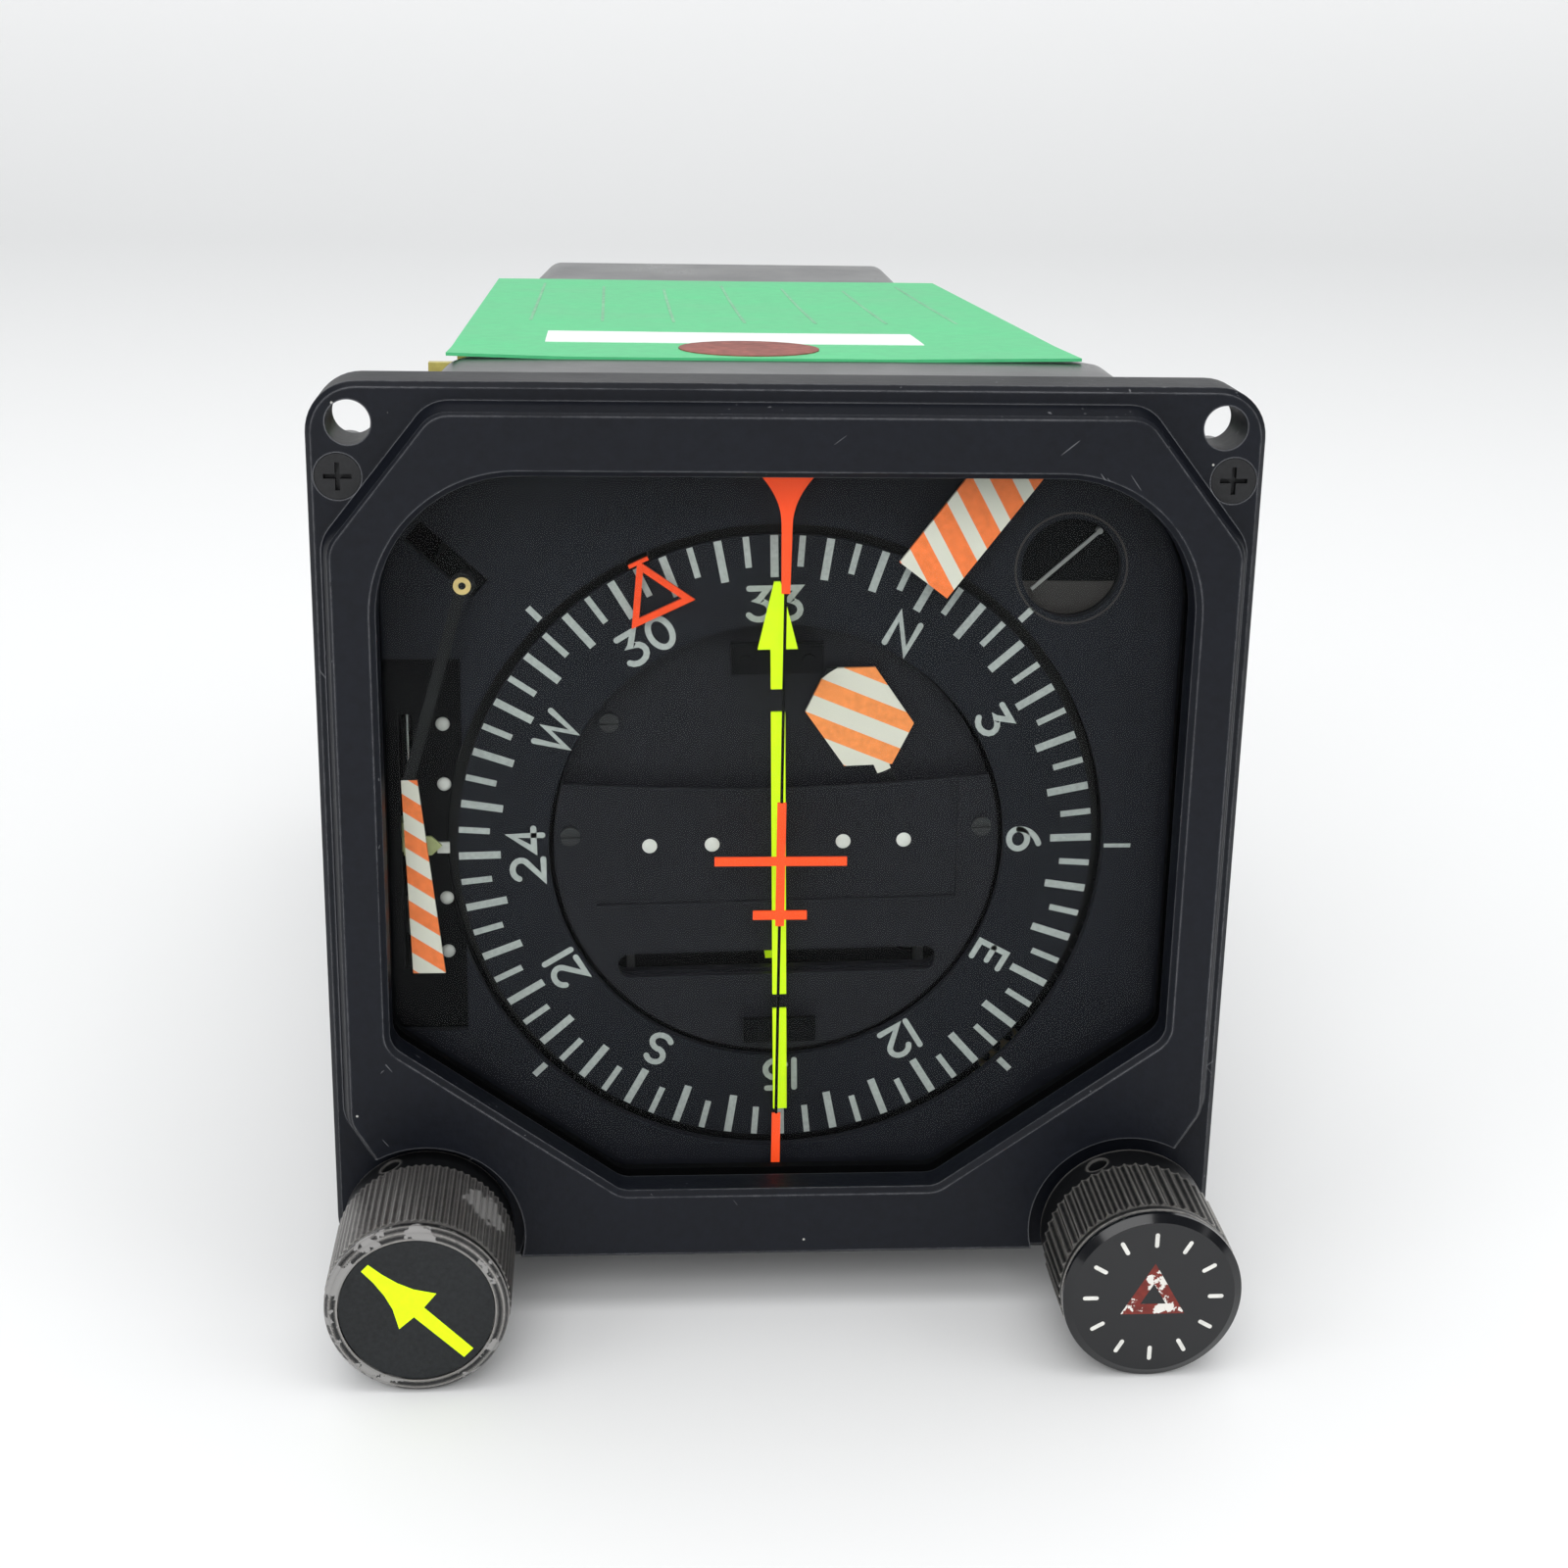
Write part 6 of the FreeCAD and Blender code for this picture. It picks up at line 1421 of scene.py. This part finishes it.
@dataclass
class ServiceTag:
    """Green card tag on the case, with a worn patch, a blank strip and ruled lines."""

    width: float = 61.0
    thickness: float = 0.3
    near_drop: float = 0.75
    far_rise: float = 0.05
    clearance: float = 0.12
    # The near corners lift; sizes are shares of the width and the length.
    left_curl: float = 0.3
    left_size: Point = (0.22, 0.1)
    curl_power: float = 1.3
    right_curl: float = 0.25
    right_size: Point = (0.3, 0.14)
    # Slow waves: height, then their span and start in radians.
    long_wave: float = 0.16
    long_phase: Point = (2.1 * math.pi, 0.6)
    cross_wave: float = 0.1
    cross_phase: Point = (5.2, 2.0)
    flat_share: float = 1 / 6
    cells: tuple[int, int] = (30, 44)
    strip_across: Point = (-21.5, 17.0)
    strip_along: Point = (14.5, 27.0)
    strip_thickness: float = 0.08
    patch_centre: Point = (-1.2, 9.2)
    patch_radii: Point = (7.0, 7.6)
    patch_rise: Point = (0.01, 0.12)
    patch_steps: int = 28
    rule_count: int = 7
    rule_start: float = -24.0
    rule_step: float = 8.0
    rule_width: float = 0.35
    rule_along: Point = (42.0, 104.0)
    rule_stagger: float = 4.0
    rule_thickness: float = 0.03

    def __post_init__(self) -> None:
        """Read the tag's sloping plane from its CAD node."""
        low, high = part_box("service_tag")
        self.near = low[1] / MM
        self.length = (high[1] - low[1]) / MM
        self.centre_x = (low[0] + high[0]) / 2 / MM
        self.z_near = high[2] / MM - self.near_drop
        self.z_far = low[2] / MM + self.far_rise

    def height(self, u: float, v: float) -> float:
        """How far the sheet stands above its plane.

        Args:
            u: place across, from 0 at the left to 1.
            v: place along, from 0 at the near end to 1.

        Returns:
            The height in millimetres.
        """
        left = max(0.0, 1 - u / self.left_size[0] - v / self.left_size[1])
        right = max(0.0, 1 - (1 - u) / self.right_size[0] - v / self.right_size[1])
        span, start = self.long_phase
        wave = self.long_wave * math.sin(span * v + start) * math.sin(math.pi * u)
        span, start = self.cross_phase
        wave += self.cross_wave * math.sin(span * u + start)
        corners = self.left_curl * left**self.curl_power + self.right_curl * right
        return corners + wave * min(1.0, v / self.flat_share) + self.clearance

    def place(self, x: float, along: float, rise: float) -> Place:
        """A point over the tag's sloping plane.

        Args:
            x: distance across from the tag's middle.
            along: distance from its near end.
            rise: height over the sheet's lower face.

        Returns:
            The point in millimetres.
        """
        v = along / self.length
        u = x / self.width + 0.5
        z = self.z_near + (self.z_far - self.z_near) * v + self.height(u, v) + rise
        return (self.centre_x + x, self.near + along, z)

    def add(self, sheet: Sheet, shop: Workshop) -> None:
        """Build a sheet that follows the tag's surface.

        Args:
            sheet: what to build.
            shop: the built materials.
        """
        across, along = sheet.cells
        (x0, x1), (y0, y1) = sheet.across, sheet.along
        shape = Shape()
        for level in (sheet.rise, sheet.rise + sheet.thickness):
            for j in range(along + 1):
                y = y0 + (y1 - y0) * j / along
                shape.points += [self.place(x0 + (x1 - x0) * i / across, y, level) for i in range(across + 1)]
        stride = across + 1
        layer = stride * (along + 1)
        for j in range(along):
            for i in range(across):
                a = j * stride + i
                shape.faces.append([a, a + stride, a + stride + 1, a + 1])
                shape.faces.append([layer + a, layer + a + 1, layer + a + stride + 1, layer + a + stride])
        rim = list(range(stride)) + [j * stride + across for j in range(1, along + 1)]
        rim += [along * stride + i for i in reversed(range(across))]
        rim += [j * stride for j in reversed(range(1, along))]
        for a, b in zip(rim, rim[1:] + rim[:1]):
            shape.faces.append([a, b, layer + b, layer + a])
        piece = shape.build(sheet.name, shop[sheet.paint], "housing", sheet.slot)
        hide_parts("service_tag")

    def patch(self, shop: Workshop) -> None:
        """The round patch where the tag was strengthened."""
        shape = Shape()
        steps = self.patch_steps
        for rise in self.patch_rise:
            for i in range(steps):
                x, y = on_circle(1.0, 360.0 * i / steps, (0.0, 0.0))
                x, y = (c + r * part for c, r, part in zip(self.patch_centre, self.patch_radii, (x, y)))
                shape.points.append(self.place(x, y, self.thickness + rise))
        shape.faces = [list(reversed(range(steps))), list(range(steps, 2 * steps))]
        shape.faces += [[i, (i + 1) % steps, steps + (i + 1) % steps, steps + i] for i in range(steps)]
        piece = shape.build("tag_patch", shop[Paint.PATCH], "housing", "tag_card")
        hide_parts("service_tag")

    def build(self, shop: Workshop) -> None:
        """Build the sheet and what is stuck on it."""
        half = self.width / 2
        sides = (-half, half)
        whole = (0.0, self.length)
        card = Sheet("tag_sheet", sides, whole, 0.0, self.thickness, Paint.TAG, "tag_card", self.cells)
        self.add(card, shop)
        strip = Sheet(
            "tag_white_strip", self.strip_across, self.strip_along, self.thickness, self.strip_thickness,
            Paint.STRIP, "bar_pale", (16, 6),
        )
        self.add(strip, shop)
        self.patch(shop)
        for index in range(self.rule_count):
            x = self.rule_start + index * self.rule_step
            start, end = self.rule_along
            end -= self.rule_stagger * (index % 3)
            rule = Sheet(
                f"tag_rule_{index}", (x, x + self.rule_width), (start, end), self.thickness,
                self.rule_thickness, Paint.RULE, "tag_card", (1, 16),
            )
            self.add(rule, shop)


@dataclass(frozen=True)
class Lamp:
    """A soft square lamp: places in metres, power in watts."""

    name: str
    place: Place
    aim: Place
    size: float
    power: float

    def hang(self) -> None:
        """Put the lamp in the scene."""
        data = bpy.data.lights.new(self.name, "AREA")
        data.energy = self.power
        data.size = self.size
        lamp = bpy.data.objects.new(self.name, data)
        lamp.location = self.place
        direction = Vector(self.aim) - Vector(self.place)
        lamp.rotation_euler = direction.to_track_quat("-Z", "Y").to_euler()
        bpy.context.scene.collection.objects.link(lamp)


@dataclass
class Studio:
    """Pale floor, soft lights and the camera."""

    # Where the photograph was taken from, in millimetres, and the camera's turns in radians.
    camera_place: Place = (-15.96, -219.77, 35.27)
    yaw: float = 0.0740
    pitch: float = 0.3109
    roll: float = 0.0190
    lens: float = 55.43
    sensor: float = 36.0
    nearest: float = 0.01
    # The surroundings, dimmer where the instrument mirrors them.
    sky_colour: Colour = (0.985, 0.99, 1.0)
    sky_level: float = 0.72
    mirrored_level: float = 0.12
    # The floor and the backdrop that it curves up into, in millimetres.
    floor_colour: Colour = (0.86, 0.865, 0.865)
    floor_roughness: float = 0.6
    floor_specular: float = 0.1
    floor_half: float = 2500.0
    floor_front: float = -900.0
    curve_start: float = 1100.0
    curve_radius: float = 500.0
    backdrop_height: float = 1500.0
    # The backdrop glows more the higher it is, up to this height in metres.
    wall_glow: float = 0.25
    glow_height: float = 0.25
    lamps: tuple[Lamp, ...] = (
        Lamp("overhead", (0.0, 0.05, 0.8), (0.0, 0.03, -0.04), 0.9, 3.1),
        Lamp("left_fill", (-0.8, -0.5, 0.5), (0.0, 0.0, -0.04), 0.6, 1.6),
        Lamp("right_fill", (0.85, -0.4, 0.45), (0.0, 0.0, -0.04), 0.6, 1.2),
        Lamp("front_fill", (-0.15, -0.95, 0.5), (0.0, -0.1, -0.08), 0.7, 4.2),
    )

    def build(self) -> None:
        """Set the stage."""
        bpy.context.scene.view_settings.view_transform = "Standard"
        self.floor()
        self.world()
        for lamp in self.lamps:
            lamp.hang()
        self.camera()

    def floor(self) -> None:
        """A pale floor that curves up into a backdrop."""
        low = cad_bounds[0][2] / MM
        centre = (self.curve_start, low + self.curve_radius)
        profile = [(self.floor_front, low)]
        profile += [on_circle(self.curve_radius, angle - 90, centre) for angle in range(0, 91, 6)]
        profile += [(self.curve_start + self.curve_radius, low + self.backdrop_height)]
        shape = Shape()
        for y, z in profile:
            shape.points += [(-self.floor_half, y, z), (self.floor_half, y, z)]
        for i in range(len(profile) - 1):
            shape.faces.append([2 * i, 2 * i + 1, 2 * i + 3, 2 * i + 2])
        mesh = shape.mesh("floor")
        for face in mesh.polygons:
            face.use_smooth = True
        floor = bpy.data.objects.new("floor", mesh)
        bpy.context.scene.collection.objects.link(floor)
        floor.data.materials.append(self.floor_material())

    def floor_material(self) -> bpy.types.Material:
        """Pale paper with a mild glow up the backdrop.

        Returns:
            The material.
        """
        material = bpy.data.materials.new("pale_floor")
        material.use_nodes = True
        tree = material.node_tree
        shader = tree.nodes["Principled BSDF"]
        shader.inputs["Base Color"].default_value = (*self.floor_colour, 1)
        shader.inputs["Roughness"].default_value = self.floor_roughness
        shader.inputs["Specular IOR Level"].default_value = self.floor_specular
        shader.inputs["Emission Strength"].default_value = 1.0
        low = cad_bounds[0][2]
        rise = tree.nodes.new("ShaderNodeMapRange")
        limits = {"From Min": low, "From Max": low + self.glow_height}
        limits |= {"To Min": 0.0, "To Max": self.wall_glow}
        for label, value in limits.items():
            rise.inputs[label].default_value = value
        place = tree.nodes.new("ShaderNodeTexCoord")
        split = tree.nodes.new("ShaderNodeSeparateXYZ")
        tree.links.new(place.outputs["Object"], split.inputs[0])
        tree.links.new(split.outputs["Z"], rise.inputs["Value"])
        tree.links.new(rise.outputs["Result"], shader.inputs["Emission Color"])
        return material

    def world(self) -> None:
        """White surroundings."""
        world = bpy.data.worlds.new("studio")
        bpy.context.scene.world = world
        world.use_nodes = True
        tree = world.node_tree
        background = tree.nodes["Background"]
        background.inputs["Color"].default_value = (*self.sky_colour, 1)
        path = tree.nodes.new("ShaderNodeLightPath")
        dim = tree.nodes.new("ShaderNodeMath")
        dim.operation = "MULTIPLY_ADD"
        dim.inputs[1].default_value = self.mirrored_level - self.sky_level
        dim.inputs[2].default_value = self.sky_level
        tree.links.new(path.outputs["Is Glossy Ray"], dim.inputs[0])
        tree.links.new(dim.outputs[0], background.inputs["Strength"])

    def camera(self) -> None:
        """The camera at the photographed angle."""
        data = bpy.data.cameras.new("camera")
        data.lens = self.lens
        data.sensor_width = self.sensor
        data.clip_start = self.nearest
        reach = math.cos(self.pitch)
        forward = Vector((math.sin(self.yaw) * reach, math.cos(self.yaw) * reach, -math.sin(self.pitch)))
        level = Vector((math.cos(self.yaw), -math.sin(self.yaw), 0.0))
        upright = level.cross(forward)
        right = level * math.cos(self.roll) + upright * math.sin(self.roll)
        up = upright * math.cos(self.roll) - level * math.sin(self.roll)
        camera = bpy.data.objects.new("camera", data)
        turned = Matrix((right, up, -forward)).transposed().to_4x4()
        camera.matrix_world = Matrix.Translation(Vector(self.camera_place) * MM) @ turned
        bpy.context.scene.collection.objects.link(camera)
        bpy.context.scene.camera = camera


def main() -> None:
    """Dress the instrument and set the stage."""
    shop = Workshop()
    shop.dress_nodes()
    CompassCard().build(shop)
    DialMarks().build(shop)
    LubberStrip().build(shop)
    KnobMarks().build(shop)
    ServiceTag().build(shop)
    Studio().build()


if __name__ == "__main__":
    main()
